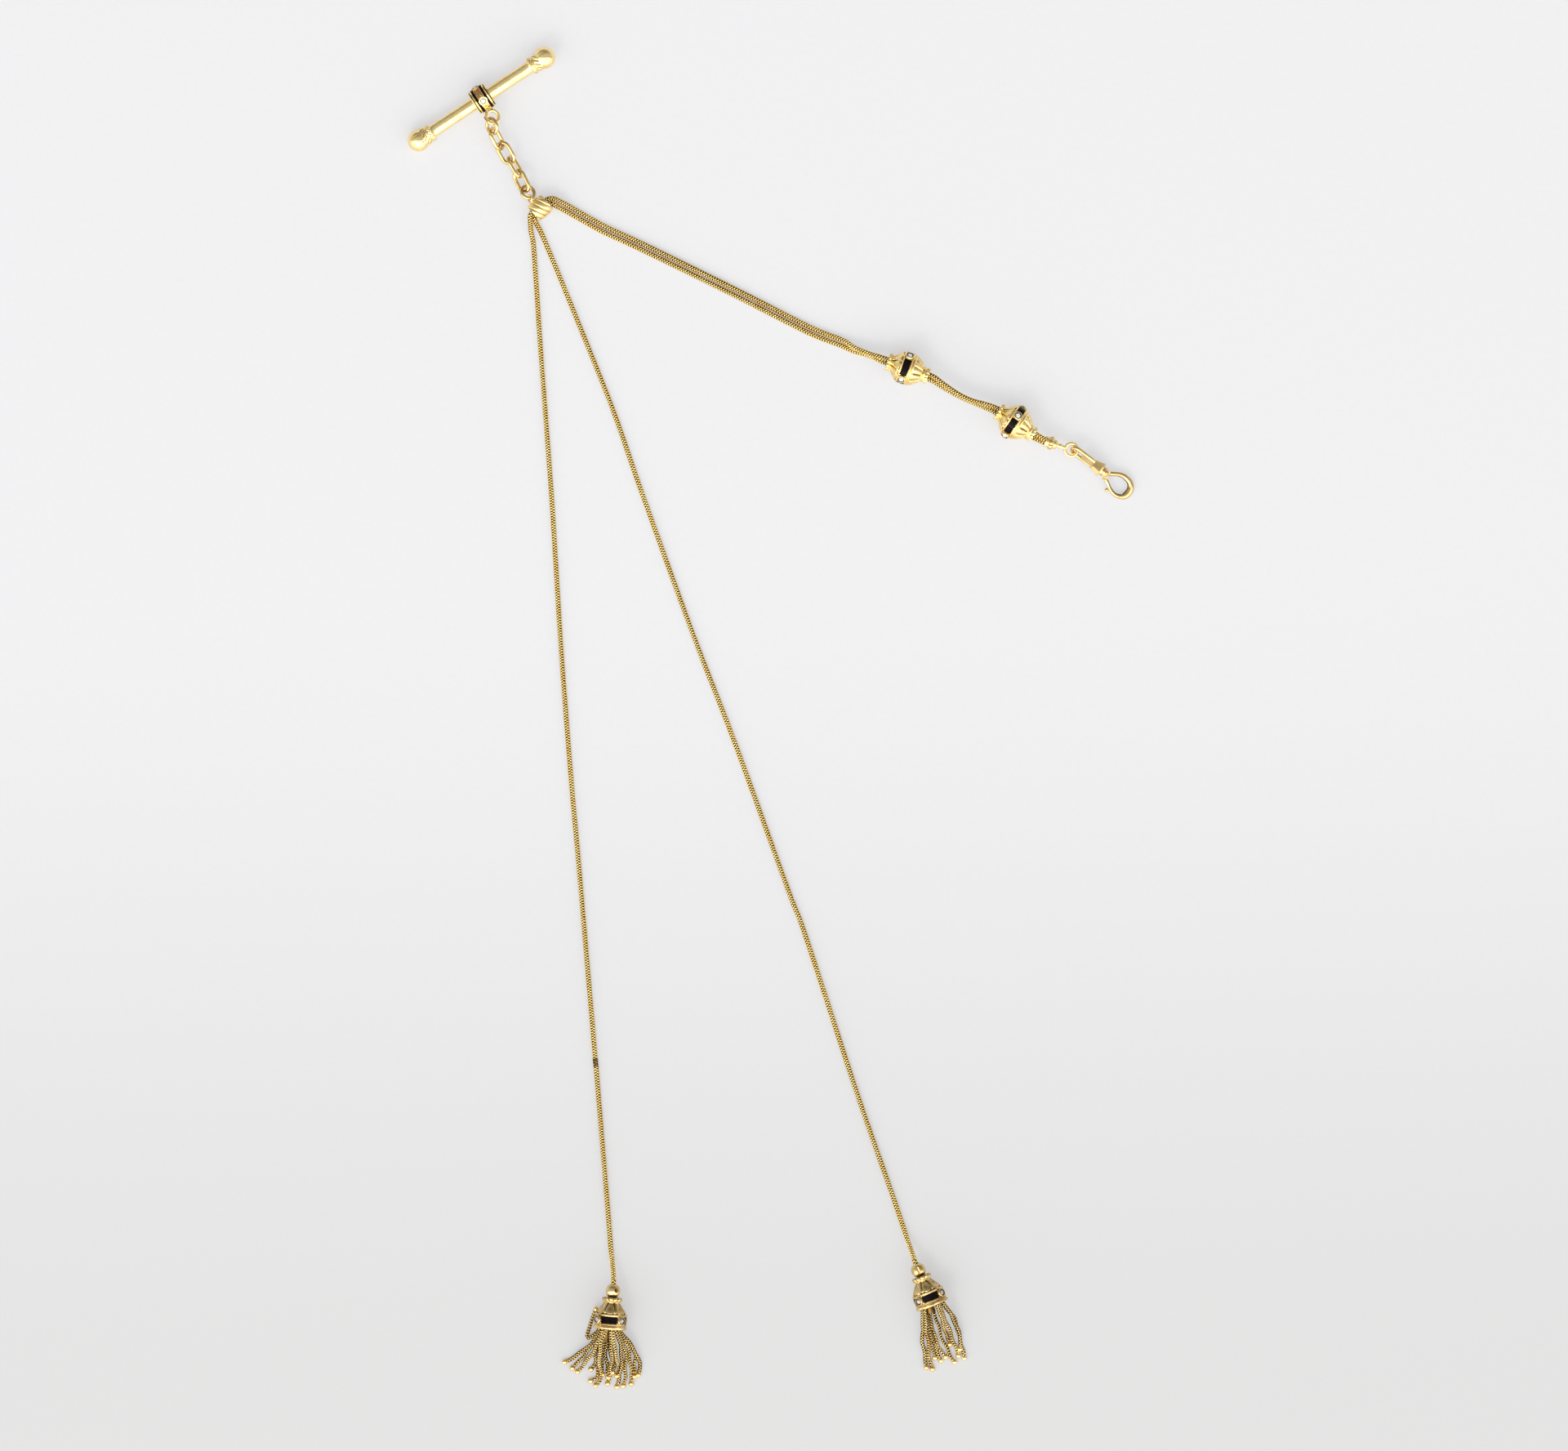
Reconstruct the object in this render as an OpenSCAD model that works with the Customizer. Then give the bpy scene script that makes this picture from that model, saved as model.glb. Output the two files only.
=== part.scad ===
/* [T-bar] */
// Length of the T-bar from pole to pole
bar_len = 38; // [36:0.2:40]
// Diameter of the T-bar's tube
bar_tube_d = 2.9; // [2.6:0.1:3.1]
// Diameter of the ball at each end of the T-bar
bar_ball_d = 4.9; // [4.4:0.1:5.2]
// Diameter of the flat vent plug at each pole
vent_d = 1.04; // [0.8:0.02:1.2]

/* [Collar] */
// Diameter of the collar's gold rims
collar_d = 5.68; // [5.4:0.02:5.9]
// Width of the collar along the bar
collar_w = 4.14; // [4:0.02:4.4]
// Width of each black enamel stripe with its groove
stripe_w = 0.66; // [0.5:0.02:0.7]

/* [Stones and enamel] */
// Outer diameter of a round bezel
bezel_d = 1.92; // [1.8:0.02:2]
// Width of an eight-sided stone across its corners
stone_d = 1.34; // [1.2:0.02:1.4]
// Angle that an enamel panel covers round its drum
panel_turn = 61; // [50:1:64]
// Width of an enamel panel along its drum
panel_w = 1.6; // [1.4:0.02:1.64]

/* [Link chain] */
// Wire thickness of the jump rings
ring_wire = 0.8; // [0.7:0.02:0.82]
// Outer diameter of the jump ring in the collar's eye
ring_d = 4.2; // [4.16:0.02:4.24]
// Outer diameter of the jump ring in the slide bead's lug
low_ring_d = 3.8; // [3.76:0.02:3.84]
// Wire thickness of the long links
link_wire = 0.86; // [0.7:0.02:0.88]
// Outer length of a long link
link_len = 5.7; // [5.66:0.02:5.76]
// Outer width of a long link
link_w = 3.6; // [3.54:0.02:3.66]

/* [Strands] */
// Diameter of one foxtail strand
strand_d = 1.2; // [1.1:0.02:1.24]
// Distance between the two strands of the pair
pair_pitch = 1.28; // [1.26:0.01:1.34]

/* [Slides] */
// Largest diameter of an urn slide's drum
urn_drum_d = 7.24; // [7:0.02:7.3]
// Length of an urn slide
urn_len = 9.54; // [9.4:0.02:9.6]
// Bore of an urn slide
urn_bore_d = 2.76; // [2.7:0.02:2.8]
// Diameter of the ribbed slide bead
slide_d = 4.5; // [4.4:0.02:4.6]
// Length of the ribbed slide bead
slide_len = 4; // [3.9:0.02:4.1]

/* [Swivel] */
// Diameter of the swivel bell's flange
bell_d = 3.44; // [3.3:0.02:3.6]
// Wire thickness of the swivel's loop
loop_wire = 0.86; // [0.8:0.02:0.88]
// Diameter of the post that turns in the bell
post_d = 0.9; // [0.8:0.02:0.92]
// Running gap round the post and the gate's pin
pivot_gap = 0.05; // [0.03:0.01:0.06]
// Gap between the gate's end and the hook's nose
nose_gap = 0.1; // [0.08:0.01:0.12]

/* [Tassels] */
// Diameter of the drilled bead over a tassel
tassel_bead_d = 3.24; // [3.1:0.02:3.3]
// Diameter of a tassel cap's drum
cap_drum_d = 7; // [6.9:0.02:7.1]
// Diameter of a fringe chain
fringe_d = 0.92; // [0.84:0.02:0.94]
// Diameter of the ball at the end of a fringe chain
fringe_ball_d = 1.28; // [1.1:0.02:1.3]

/* [Hidden] */

$fn = 64;
gold = "#e2b95a";
dark_gold = "#b08a3c";
black = "#15120f";
diamond = "#d9dde0";

// Sides of the swept strands, fringe chains and hook
strand_sides = 8;
fringe_sides = 6;
hook_sides = 8;

// Gap kept round each inlaid piece
inlay_gap = 0.04;
// Height of a stone and of the step up to its girdle
stone_h = 0.36;
girdle_h = 0.12;
// Height of a bezel's lip above its drum, and the depth of the seat in it
bezel_rise = 0.55;
seat_depth = stone_h + 0.02;
// Depth of the recess for an enamel panel, and how far the panel stays below the drum
panel_depth = 0.28;
panel_below = 0.05;

// Places, as [x, y, z], heading from +X, pitch above the floor and roll about the axis
BAR_PLACE = [-63.6, 136.3, 3.17];
BAR_HEADING = 33.2;
BAR_PITCH = 2.4;
BAR_OFFSET = -0.2;
COLLAR_ROLL = 16;
SLIDE_PLACE = [-50.8, 112.3, 2.42];
SLIDE_HEADING = 41.6;
URN_PLACES = [[25.6, 78.46, 3.8], [49.9, 67.5, 4.24]];
URN_HEADINGS = [-20.3, -34.1];
URN_ROLLS = [0, 23];
FERRULE_PLACE = [60.2, 60.9, 3.7];
FERRULE_HEADING = -17.8;
FERRULE_PITCH = -7;
SWIVEL_PLACE = [72.27, 54.9, 1.96];
SWIVEL_HEADING = -36.5;
SWIVEL_PITCH = -8.2;
TASSEL_PLACES = [[-34.8, -126.1, 3.76], [32.4, -121.5, 3.76]];
TASSEL_HEADINGS = [-94.6, -68];
TASSEL_ROLLS = [5, -5];
TUBE_TURNS = [-4, -5];
TUBE_ENDS = [11.1, 9.8];

// The pair of strands, a row for each bend: x, y, z and the turn of the pair about its own line
PAIR_ROUTE = [
    [-50.8, 112.3, 2.4, 45], [-49.1, 113.65, 2.45, 35], [-48.1, 113.8, 2.3, 25], [-46.8, 113.2, 1.7, 12],
    [-45.2, 112.4, 1, 5],
    [-42.9, 111.1, 0.62, 0], [-36.8, 107.7, 0.62, 0], [-29.4, 104.3, 0.62, 0], [-15, 97.3, 0.62, 0],
    [-4.2, 91.9, 0.62, 0], [8.4, 85.5, 0.62, 0], [15.4, 82.7, 0.8, 15], [18.2, 81.2, 1.4, 55],
    [21.5, 80, 2.5, 75], [25.4, 78.5, 3.8, 50], [34.6, 75.1, 3.8, 45], [37.6, 73.3, 3.5, 60],
    [40.8, 71.3, 3.3, 75], [43.9, 69.8, 3.4, 80], [47, 68.7, 3.9, 60], [49.8, 67.5, 4.24, 40],
    [53.8, 64.8, 4.24, 30], [57.7, 62.2, 4.22, 45], [60.05, 60.96, 3.76, 60]
];
// The two free strands, a row for each bend after the slide bead: x, y and z
DROP_A_ROUTE = [
    [-52.9, 110.85, 3.02], [-53, 109, 2], [-52.9, 107.1, 1], [-52.4, 104.3, 0.62], [-51.8, 96, 0.62],
    [-50.8, 81.4, 0.62], [-48.5, 50.3, 0.62], [-46.2, 14.3, 0.62], [-44, -14.5, 0.62],
    [-42.2, -34.3, 0.62], [-38.9, -73.5, 0.62], [-38.4, -79, 0.62],
    [-36, -108.1, 0.62], [-35.4, -116, 0.62], [-35.1, -119, 1], [-34.8, -121.4, 2.2],
    [-34.65, -123.4, 3.3]
];
DROP_B_ROUTE = [
    [-52.2, 110.45, 1.78], [-51.7, 108.9, 0.98], [-50, 105.4, 0.62], [-44, 90.8, 0.62],
    [-35, 68.3, 0.62], [-28.6, 49.9, 0.62], [-17, 17.9, 0.62], [-8, -5.5, 0.62],
    [3.9, -38.3, 0.62], [7.5, -47.8, 0.62], [19, -82.9, 0.62], [26.5, -104.5, 0.62],
    [28.9, -111.6, 0.62], [30, -114.9, 1], [30.8, -117.1, 2.2], [31.45, -119, 3.3]
];

// The link chain, a row for each ring or link: x, y, z, heading, pitch, roll
RING_TOP = [-61.4, 130.2, 4.25, -88, -18, 50];
RING_BOTTOM = [-53.55, 115.75, 2.15, -52, 6, -34];
LINK_ROWS = [
    [-60.4, 127.45, 3.45, -62, -18, -50],
    [-58.45, 124.4, 2.65, -60, -8, 28],
    [-56.4, 121.35, 2.2, -60, -4, -62],
    [-54.95, 118.15, 2.15, -64, 2, 40]
];

// Outline of an urn's petal end, a row for each station: distance along, radius, petal relief
PETAL_END = [
    [0, 1.86, 0.12], [0.3, 2, 0.14], [0.65, 1.86, 0.1], [0.95, 1.62, 0.02], [1.3, 1.78, 0.06],
    [1.8, 2.2, 0.18], [2.3, 2.7, 0.24], [2.75, 3.08, 0.2], [3.05, 3.28, 0.06], [3.2, 3.3, 0]
];
// Outline of an urn's fluted end: distance along, radius, flute relief
FLUTED_END = [
    [5.2, 3.46, 0], [5.6, 3.44, 0.04], [5.95, 3.34, 0.16], [6.5, 3.02, 0.2], [7.1, 2.58, 0.2],
    [7.6, 2.2, 0.16], [8, 1.86, 0.06], [8.2, 1.64, 0], [8.45, 1.76, 0.06], [8.7, 1.62, 0],
    [9.1, 1.78, 0.06], [9.54, 1.7, 0.06]
];
// Outline of a tassel cap's petals: distance along, radius, petal relief
CAP_PETALS = [
    [0, 1.84, 0.16], [0.3, 2.06, 0.2], [0.7, 1.98, 0.14], [1.1, 1.74, 0.02], [1.5, 1.88, 0.08],
    [2.1, 2.24, 0.18], [2.7, 2.6, 0.24], [3.2, 2.9, 0.2], [3.55, 3.08, 0.06], [3.74, 3.12, 0]
];
petal_count = 8;
flute_count = 12;
// Columns of facets round the petals and flutes
relief_columns = 48;

// Drums: where the band and its two ridges lie along an urn and along a cap
URN_BAND = [3.05, 3.37, 5.05, 5.42];
CAP_BAND = [3.6, 4, 5.78, 6.1];
ridge_rise = 0.16;
cap_len = 6.95;
cap_start = 1.4;
cap_rim_d = 7.36;

// Hook and gate centre line in the plane of the hook, a row for each section:
// distance along the swivel's axis, distance to its left, half width
HOOK_LINE = [
    [1.5, 0.1, 0.56], [2.4, 0.42, 0.54], [3.42, 1.08, 0.5], [4.31, 1.62, 0.5], [5.27, 1.9, 0.54],
    [6, 1.9, 0.62], [7.03, 1.72, 0.66], [7.72, 1.28, 0.7], [8.2, 0.62, 0.76], [8.4, -0.16, 0.8],
    [8.34, -0.9, 0.8], [8.1, -1.5, 0.74], [7.75, -1.92, 0.64], [7.2, -2.28, 0.54], [6.6, -2.48, 0.5]
];
GATE_LINE = [
    [7.5, -2.12, 0.58], [7.1, -2.33, 0.52], [6.6, -2.48, 0.48], [6, -2.52, 0.45],
    [5.4, -2.42, 0.44], [4.7, -2.15, 0.41], [4.05, -1.84, 0.39], [3.3, -1.42, 0.43],
    [2.75, -1.15, 0.46]
];
// Half the hook's thickness across its plane
hook_thick = 0.62;
// Outline of the ribbed collar behind the hook: radius and distance along
COLLAR_ROWS = [
    [0, 0.51], [1.16, 0.51], [1.16, 0.8], [0.94, 0.86], [0.94, 0.98], [1.08, 1.04], [1.08, 1.34],
    [0.9, 1.4], [0.9, 1.5], [1, 1.56], [1, 1.86], [0.86, 2.1], [0, 2.1]
];
// The nose is cut back on an arc, ahead of the first distance and to the right of the second
NOSE_CUT = [3.4, -0.4];
GATE_PIVOT = [2.3, -1.05];
gate_swing_r = 5.1;
knuckle_r = 0.5;
tongue_h = 0.42;
knuckle_h = 1.14;
pin_d = 0.4;
KNOB = [4.1, -2.82];

// Left fringe, a row for each chain: side and height where it leaves the cap,
// then along, side and height of its knee, then along, side and heading at its ball
FRINGE_1 = [
    [2.5, 0.1, 11.8, 3.8, 2.6, 16.6, 9.4, 60], [1.9, 1.5, 12.4, 3.5, 2.9, 17.8, 7.6, 38],
    [1.5, 2, 12.8, 2.9, 3.9, 18.5, 6.4, 38], [2.4, 0.9, 12, 2.9, 2.6, 17.7, 3.5, 30],
    [1.6, -1.9, 12.6, 2, 1.2, 20.3, 3.4, 48], [0.8, 2.3, 12.6, 1.9, 4.9, 21.2, 2.2, 28],
    [0.2, -2.1, 14, 0.5, 0.8, 19.2, -0.4, -10], [-0.3, 2.4, 13.8, -0.8, 3.9, 20.6, -0.4, 14],
    [-0.8, 2.4, 13.4, -1.6, 4.2, 18.7, -2.3, 8], [-1.6, 1.8, 13.1, -3, 3.2, 21.1, -2.5, 12],
    [-2.1, 1.2, 13.4, -3.7, 2.5, 20.8, -3.9, 8], [-2.5, 0.4, 13.1, -4.6, 1.7, 20.2, -5.6, -5],
    [-2.4, -0.6, 12.3, -5.5, 1.8, 18.1, -7, 4], [-1.9, -1.7, 12.8, -5.4, 0.8, 18.5, -6.2, -2],
    [0.9, -2.1, 14.2, 1.3, 0.7, 18.6, 0.9, -8], [-0.5, -2.1, 14.2, -0.5, 0.7, 18, -1.3, 6]
];
// The left fringe's curled chain, which lies back beside the cap: along, side and height
CURLED_CHAIN = [
    [7.2, 1.9, 2.7], [8.6, 2.3, 2.5], [10, 3.5, 1.7], [10.9, 4.7, 0.9], [10.2, 4.9, 0.6],
    [8, 4.4, 0.6], [6, 3.95, 0.8], [4.4, 3.4, 1.2]
];
FRINGE_2 = [
    [2.62, 0.2, 13.6, 4.5, 2, 20.7, 6.4, 12], [2.2, 1.3, 13.9, 3.6, 2.6, 21.5, 5.3, 6],
    [2.4, -0.8, 14, 3.1, 1.6, 19.4, 3.9, 6], [1.9, -1.6, 13.7, 2.6, 1.2, 20.5, 2.9, -4],
    [1.2, -2.1, 14.7, 2.2, 0.8, 20.1, 1.6, -14], [0.2, -2.2, 13.9, 0.7, 0.8, 21.9, 0.2, -14],
    [-1, 2.3, 13.2, -0.7, 3.4, 17.9, -0.3, 2], [-1.5, 1.9, 13.7, -1.3, 2.9, 20.9, -1.1, 5],
    [-2.2, -1, 13.4, -3.3, 1, 19.7, -1.9, 24], [-2.5, 0.6, 13.2, -3.2, 2.2, 21.9, -2.1, 12]
];

// A piece built along +Z is laid along +X, with its own +X facing up
module lay_along() {
    rotate([0, 90, 0]) rotate([0, 0, 180]) children();
}

// Moves a piece built along +X to a place, a heading and a pitch
module at(place, heading, pitch) {
    translate(place) rotate([0, -pitch, heading]) children();
}

// A round rod between two points
module rod(p, q, d) {
    v = q - p;
    translate(p) rotate([0, atan2(norm([v[0], v[1]]), v[2]), atan2(v[1], v[0])])
        cylinder(h = norm(v), d = d);
}

function unit(v) = v / norm(v);

// Smooth curve through points, with steps along each stretch
function curve_point(a, b, c, d, t) =
    b + t * (c - a) / 2 + t * t * (a - 2.5 * b + 2 * c - 0.5 * d)
    + t * t * t * (1.5 * b - 1.5 * c + 0.5 * d - 0.5 * a);
function smooth_route(p, steps) = concat(
    [for (i = [0 : len(p) - 2]) for (k = [0 : steps - 1])
        curve_point(p[max(i - 1, 0)], p[i], p[i + 1], p[min(i + 2, len(p) - 1)], k / steps)],
    [p[len(p) - 1]]);

function route_direction(p, i) = unit(p[min(i + 1, len(p) - 1)] - p[max(i - 1, 0)]);

// One ring of points round a route, wide across it and high above it
function ring_points(p, i, wide, high, sides) =
    let (along = route_direction(p, i),
         side = unit(cross(along, [0, 0, 1])),
         top = cross(side, along))
    [for (k = [0 : sides - 1])
        p[i] + wide[i] * cos(360 * k / sides) * side + high[i] * sin(360 * k / sides) * top];

// A closed tube swept along a route
module sweep(p, wide, high, sides) {
    rings = len(p);
    points = [for (i = [0 : rings - 1]) each ring_points(p, i, wide, high, sides)];
    skin = [for (i = [0 : rings - 2]) for (k = [0 : sides - 1])
        let (n = (k + 1) % sides)
        [i * sides + k, i * sides + n, (i + 1) * sides + n, (i + 1) * sides + k]];
    first_end = [for (k = [sides - 1 : -1 : 0]) k];
    last_end = [for (k = [0 : sides - 1]) (rings - 1) * sides + k];
    polyhedron(points = points, faces = concat(skin, [first_end, last_end]), convexity = 6);
}

module round_sweep(p, d, sides) {
    half = [for (q = p) d / 2];
    sweep(p, half, half, sides);
}

// A solid of revolution with raised lobes round it, from rows of distance, radius and relief
module lobed_solid(rows, lobes) {
    rings = len(rows);
    n = relief_columns;
    points = [for (row = rows) for (k = [0 : n - 1])
        let (turn = 360 * k / n, r = row[1] + row[2] * abs(cos(lobes / 2 * turn)))
        [r * cos(turn), r * sin(turn), row[0]]];
    skin = [for (i = [0 : rings - 2]) for (k = [0 : n - 1])
        let (m = (k + 1) % n)
        [i * n + k, (i + 1) * n + k, (i + 1) * n + m, i * n + m]];
    first_end = [for (k = [0 : n - 1]) k];
    last_end = [for (k = [n - 1 : -1 : 0]) (rings - 1) * n + k];
    polyhedron(points = points, faces = concat(skin, [first_end, last_end]), convexity = 6);
}

// Carries a piece built along +Z out to a drum's side, at a turn and a distance along
module on_drum(turn, along) {
    rotate([0, 0, turn]) translate([0, 0, along]) rotate([0, 90, 0]) children();
}

module bezel(drum_r) {
    cylinder(h = drum_r + bezel_rise, d = bezel_d);
}

module seat(drum_r) {
    translate([0, 0, drum_r + bezel_rise - seat_depth])
        cylinder(h = seat_depth + 1, d = stone_d + 2 * inlay_gap);
}

// An eight-sided stone with a flat table and eight crown facets
module stone(drum_r) {
    translate([0, 0, drum_r + bezel_rise - stone_h])
        union() {
            cylinder(h = girdle_h, d1 = stone_d - 0.16, d2 = stone_d, $fn = 8);
            translate([0, 0, girdle_h])
                cylinder(h = stone_h - girdle_h, d1 = stone_d, d2 = stone_d * 0.6, $fn = 8);
        }
}

// A stretch of ring between two radii, two distances along and two turns
module drum_patch(r_in, r_out, low, high, turn) {
    rotate([0, 0, -turn / 2]) rotate_extrude(angle = turn)
        translate([r_in, low]) square([r_out - r_in, high - low]);
}

module panel_recesses(drum_r, mid) {
    for (q = [0 : 3]) rotate([0, 0, 90 * q])
        drum_patch(drum_r - panel_depth, drum_r + 1, mid - panel_w / 2, mid + panel_w / 2, panel_turn);
}

module panels(drum_r, mid) {
    gap_turn = inlay_gap / drum_r * 57.3;
    difference() {
        for (q = [0 : 3]) rotate([0, 0, 90 * q])
            drum_patch(drum_r - panel_depth + inlay_gap, drum_r - panel_below,
                mid - panel_w / 2 + inlay_gap, mid + panel_w / 2 - inlay_gap, panel_turn - 2 * gap_turn);
        for (q = [0 : 3]) on_drum(45 + 90 * q, mid) cylinder(h = drum_r + 1, d = bezel_d + 2 * inlay_gap);
    }
}

// T-bar: a tube with a turned neck and a ball at each end
module bar_end() {
    ball_r = bar_ball_d / 2;
    difference() {
        union() {
            translate([0, 0, ball_r]) sphere(r = ball_r);
            rotate_extrude() polygon([[0, 3.4], [2, 3.4], [2.14, 3.72], [2.1, 4], [2, 4.5],
                [1.94, 4.84], [1.8, 4.92], [1.64, 4.96], [1.64, 5.08], [1.84, 5.14], [1.99, 5.28],
                [1.99, 5.84], [1.86, 6], [1.6, 6.08], [1.52, 6.2], [0, 6.2]]);
        }
        translate([0, 0, -1]) cylinder(h = 1.16, d = vent_d);
    }
}

module on_bar() {
    at(BAR_PLACE, BAR_HEADING, BAR_PITCH) children();
}

module t_bar() {
    color(gold) on_bar() translate([BAR_OFFSET, 0, 0]) lay_along() {
        translate([0, 0, -bar_len / 2]) bar_end();
        translate([0, 0, bar_len / 2]) mirror([0, 0, 1]) bar_end();
        translate([0, 0, 6 - bar_len / 2]) cylinder(h = bar_len - 12, d = bar_tube_d);
    }
}

// Collar: a drum on the bar with two enamel grooves, four bezels and a soldered eye
collar_r = collar_d / 2;
collar_bore_d = bar_tube_d + 0.06;
stripe_at = 0.72;
collar_band_r = collar_r - 0.1;
EYE_CENTRE = [-0.3, -4.7, 1.3];
eye_tilt = 18;
eye_wire = 0.78;
eye_r = 1.45;

module collar_half() {
    rotate_extrude() polygon([[collar_bore_d / 2, -0.01], [collar_band_r, -0.01],
        [collar_band_r, 0.6], [collar_r - 0.02, 0.64], [collar_r - 0.02, stripe_at],
        [collar_r - 0.3, stripe_at], [collar_r - 0.3, stripe_at + stripe_w],
        [collar_r, stripe_at + stripe_w], [collar_r, 1.66], [collar_r - 0.2, 1.72],
        [collar_r - 0.2, 1.86], [collar_r - 0.1, 1.9], [collar_r - 0.24, collar_w / 2],
        [collar_bore_d / 2, collar_w / 2]]);
}

module collar_bezels() {
    for (q = [0 : 3]) on_drum(COLLAR_ROLL + 90 * q, 0)
        translate([0, 0, 1.9]) cylinder(h = collar_r + 0.14 - 1.9, d = bezel_d);
}

module collar() {
    color(gold) on_bar() {
        lay_along() difference() {
            union() {
                collar_half();
                mirror([0, 0, 1]) collar_half();
                collar_bezels();
            }
            for (q = [0 : 3]) on_drum(COLLAR_ROLL + 90 * q, 0) seat(collar_r + 0.14 - bezel_rise);
        }
        translate(EYE_CENTRE) rotate([0, eye_tilt, 0]) torus(eye_r, eye_wire);
        rod([-0.2, -2.2, 1.1], EYE_CENTRE + [0, eye_r - 0.1, 0], 0.8);
    }
}

module collar_enamel(side) {
    low = side > 0 ? stripe_at : -stripe_at - stripe_w;
    color(black) on_bar() lay_along() difference() {
        rotate_extrude() translate([collar_r - 0.3 + inlay_gap, low + inlay_gap])
            square([0.22, stripe_w - 2 * inlay_gap]);
        for (q = [0 : 3]) on_drum(COLLAR_ROLL + 90 * q, 0) cylinder(h = 5, d = bezel_d + 2 * inlay_gap);
    }
}

module collar_stone(q) {
    color(diamond) on_bar() lay_along() on_drum(COLLAR_ROLL + 90 * q, 0) stone(collar_r + 0.14 - bezel_rise);
}

// Link chain: round jump rings and long oval links that pass through each other
module torus(r, wire) {
    rotate_extrude() translate([r, 0]) circle(d = wire);
}

module jump_ring(row, d) {
    color(gold) at([row[0], row[1], row[2]], row[3], row[4]) rotate([row[5], 0, 0])
        torus((d - ring_wire) / 2, ring_wire);
}

module oval_link(len_out, w_out, wire) {
    bend_r = (w_out - wire) / 2;
    reach = (len_out - wire) / 2 - bend_r;
    for (s = [-1, 1]) {
        translate([s * reach, 0, 0]) rotate([0, 0, -90 * s])
            rotate_extrude(angle = 180) translate([bend_r, 0]) circle(d = wire);
        translate([-reach, s * bend_r, 0]) rotate([0, 90, 0]) cylinder(h = 2 * reach, d = wire);
    }
}

module link(i) {
    row = LINK_ROWS[i];
    color(gold) at([row[0], row[1], row[2]], row[3], row[4]) rotate([row[5], 0, 0])
        oval_link(link_len, link_w, link_wire);
}

// Slide bead: a drilled barrel with raised ribs round it and a soldered lug
rib_count = 6;
slide_bore_d = 3.1;
LUG_CENTRE = [-0.35, 3, 0];
slide_steps = 36;

function slide_radius(t) =
    let (barrel = sqrt(1 - pow(1.1 * t / slide_len, 2)),
         rib = 0.07 * cos(360 * rib_count * (t / slide_len + 0.5)))
    slide_d / 2 * barrel + rib;

module slide_bead() {
    outline = [for (k = [0 : slide_steps])
        let (t = slide_len * (k / slide_steps - 0.5)) [slide_radius(t), t]];
    color(gold) at(SLIDE_PLACE, SLIDE_HEADING, 0) {
        lay_along() difference() {
            rotate_extrude() polygon(concat([[0, -slide_len / 2]], outline, [[0, slide_len / 2]]));
            translate([0, 0, -slide_len]) cylinder(h = 2 * slide_len, d = slide_bore_d);
        }
        translate(LUG_CENTRE) rotate([0, 117, -32]) torus(0.86, 0.36);
    }
}

// Strands: the pair runs side by side and turns about its own line
function pair_point(i, side) =
    let (here = PAIR_ROUTE[i],
         before = PAIR_ROUTE[max(i - 1, 0)],
         after = PAIR_ROUTE[min(i + 1, len(PAIR_ROUTE) - 1)],
         along = unit([after[0] - before[0], after[1] - before[1], 0]),
         left = [-along[1], along[0], 0],
         offset = cos(here[3]) * left + [0, 0, sin(here[3])])
    [here[0], here[1], here[2]] + side * pair_pitch / 2 * offset;

module pair_strand(side) {
    color(gold) round_sweep([for (i = [0 : len(PAIR_ROUTE) - 1]) pair_point(i, side)],
        strand_d, strand_sides);
}

function tassel_point(t, along) =
    TASSEL_PLACES[t] + along * [cos(TASSEL_HEADINGS[t]), sin(TASSEL_HEADINGS[t]), 0];

module drop_strand(side, route, t) {
    meeting = pair_point(0, side) - 0.3 * [cos(SLIDE_HEADING), sin(SLIDE_HEADING), 0];
    color(gold) round_sweep(concat([meeting], route, [tassel_point(t, -1.7), tassel_point(t, 4.2)]),
        strand_d, strand_sides);
}

// Urn slide: petals, a drum with enamel and stones, and flutes
urn_drum_r = urn_drum_d / 2;

module drum(r, band, low_r, high_r) {
    rotate_extrude() polygon([[0, band[0]], [low_r, band[0]], [r + ridge_rise, band[0] + 0.1],
        [r + ridge_rise, band[1] - 0.06], [r, band[1]], [r, band[2]], [r + ridge_rise, band[2] + 0.06],
        [r + ridge_rise, band[3] - 0.1], [high_r, band[3]], [0, band[3]]]);
}

module urn(u) {
    mid = (URN_BAND[1] + URN_BAND[2]) / 2;
    color(gold) at(URN_PLACES[u], URN_HEADINGS[u], 0) lay_along() rotate([0, 0, URN_ROLLS[u]])
        difference() {
            union() {
                lobed_solid(PETAL_END, petal_count);
                difference() {
                    drum(urn_drum_r, URN_BAND, 3.5, 3.5);
                    panel_recesses(urn_drum_r, mid);
                }
                lobed_solid(FLUTED_END, flute_count);
                for (q = [0 : 3]) on_drum(45 + 90 * q, mid) bezel(urn_drum_r);
            }
            for (q = [0 : 3]) on_drum(45 + 90 * q, mid) seat(urn_drum_r);
            translate([0, 0, -1]) cylinder(h = urn_len + 2, d = urn_bore_d);
        }
}

module urn_enamel(u) {
    color(black) at(URN_PLACES[u], URN_HEADINGS[u], 0) lay_along() rotate([0, 0, URN_ROLLS[u]])
        panels(urn_drum_r, (URN_BAND[1] + URN_BAND[2]) / 2);
}

module urn_stone(u, q) {
    color(diamond) at(URN_PLACES[u], URN_HEADINGS[u], 0) lay_along() rotate([0, 0, URN_ROLLS[u]])
        on_drum(45 + 90 * q, (URN_BAND[1] + URN_BAND[2]) / 2) stone(urn_drum_r);
}

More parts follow.
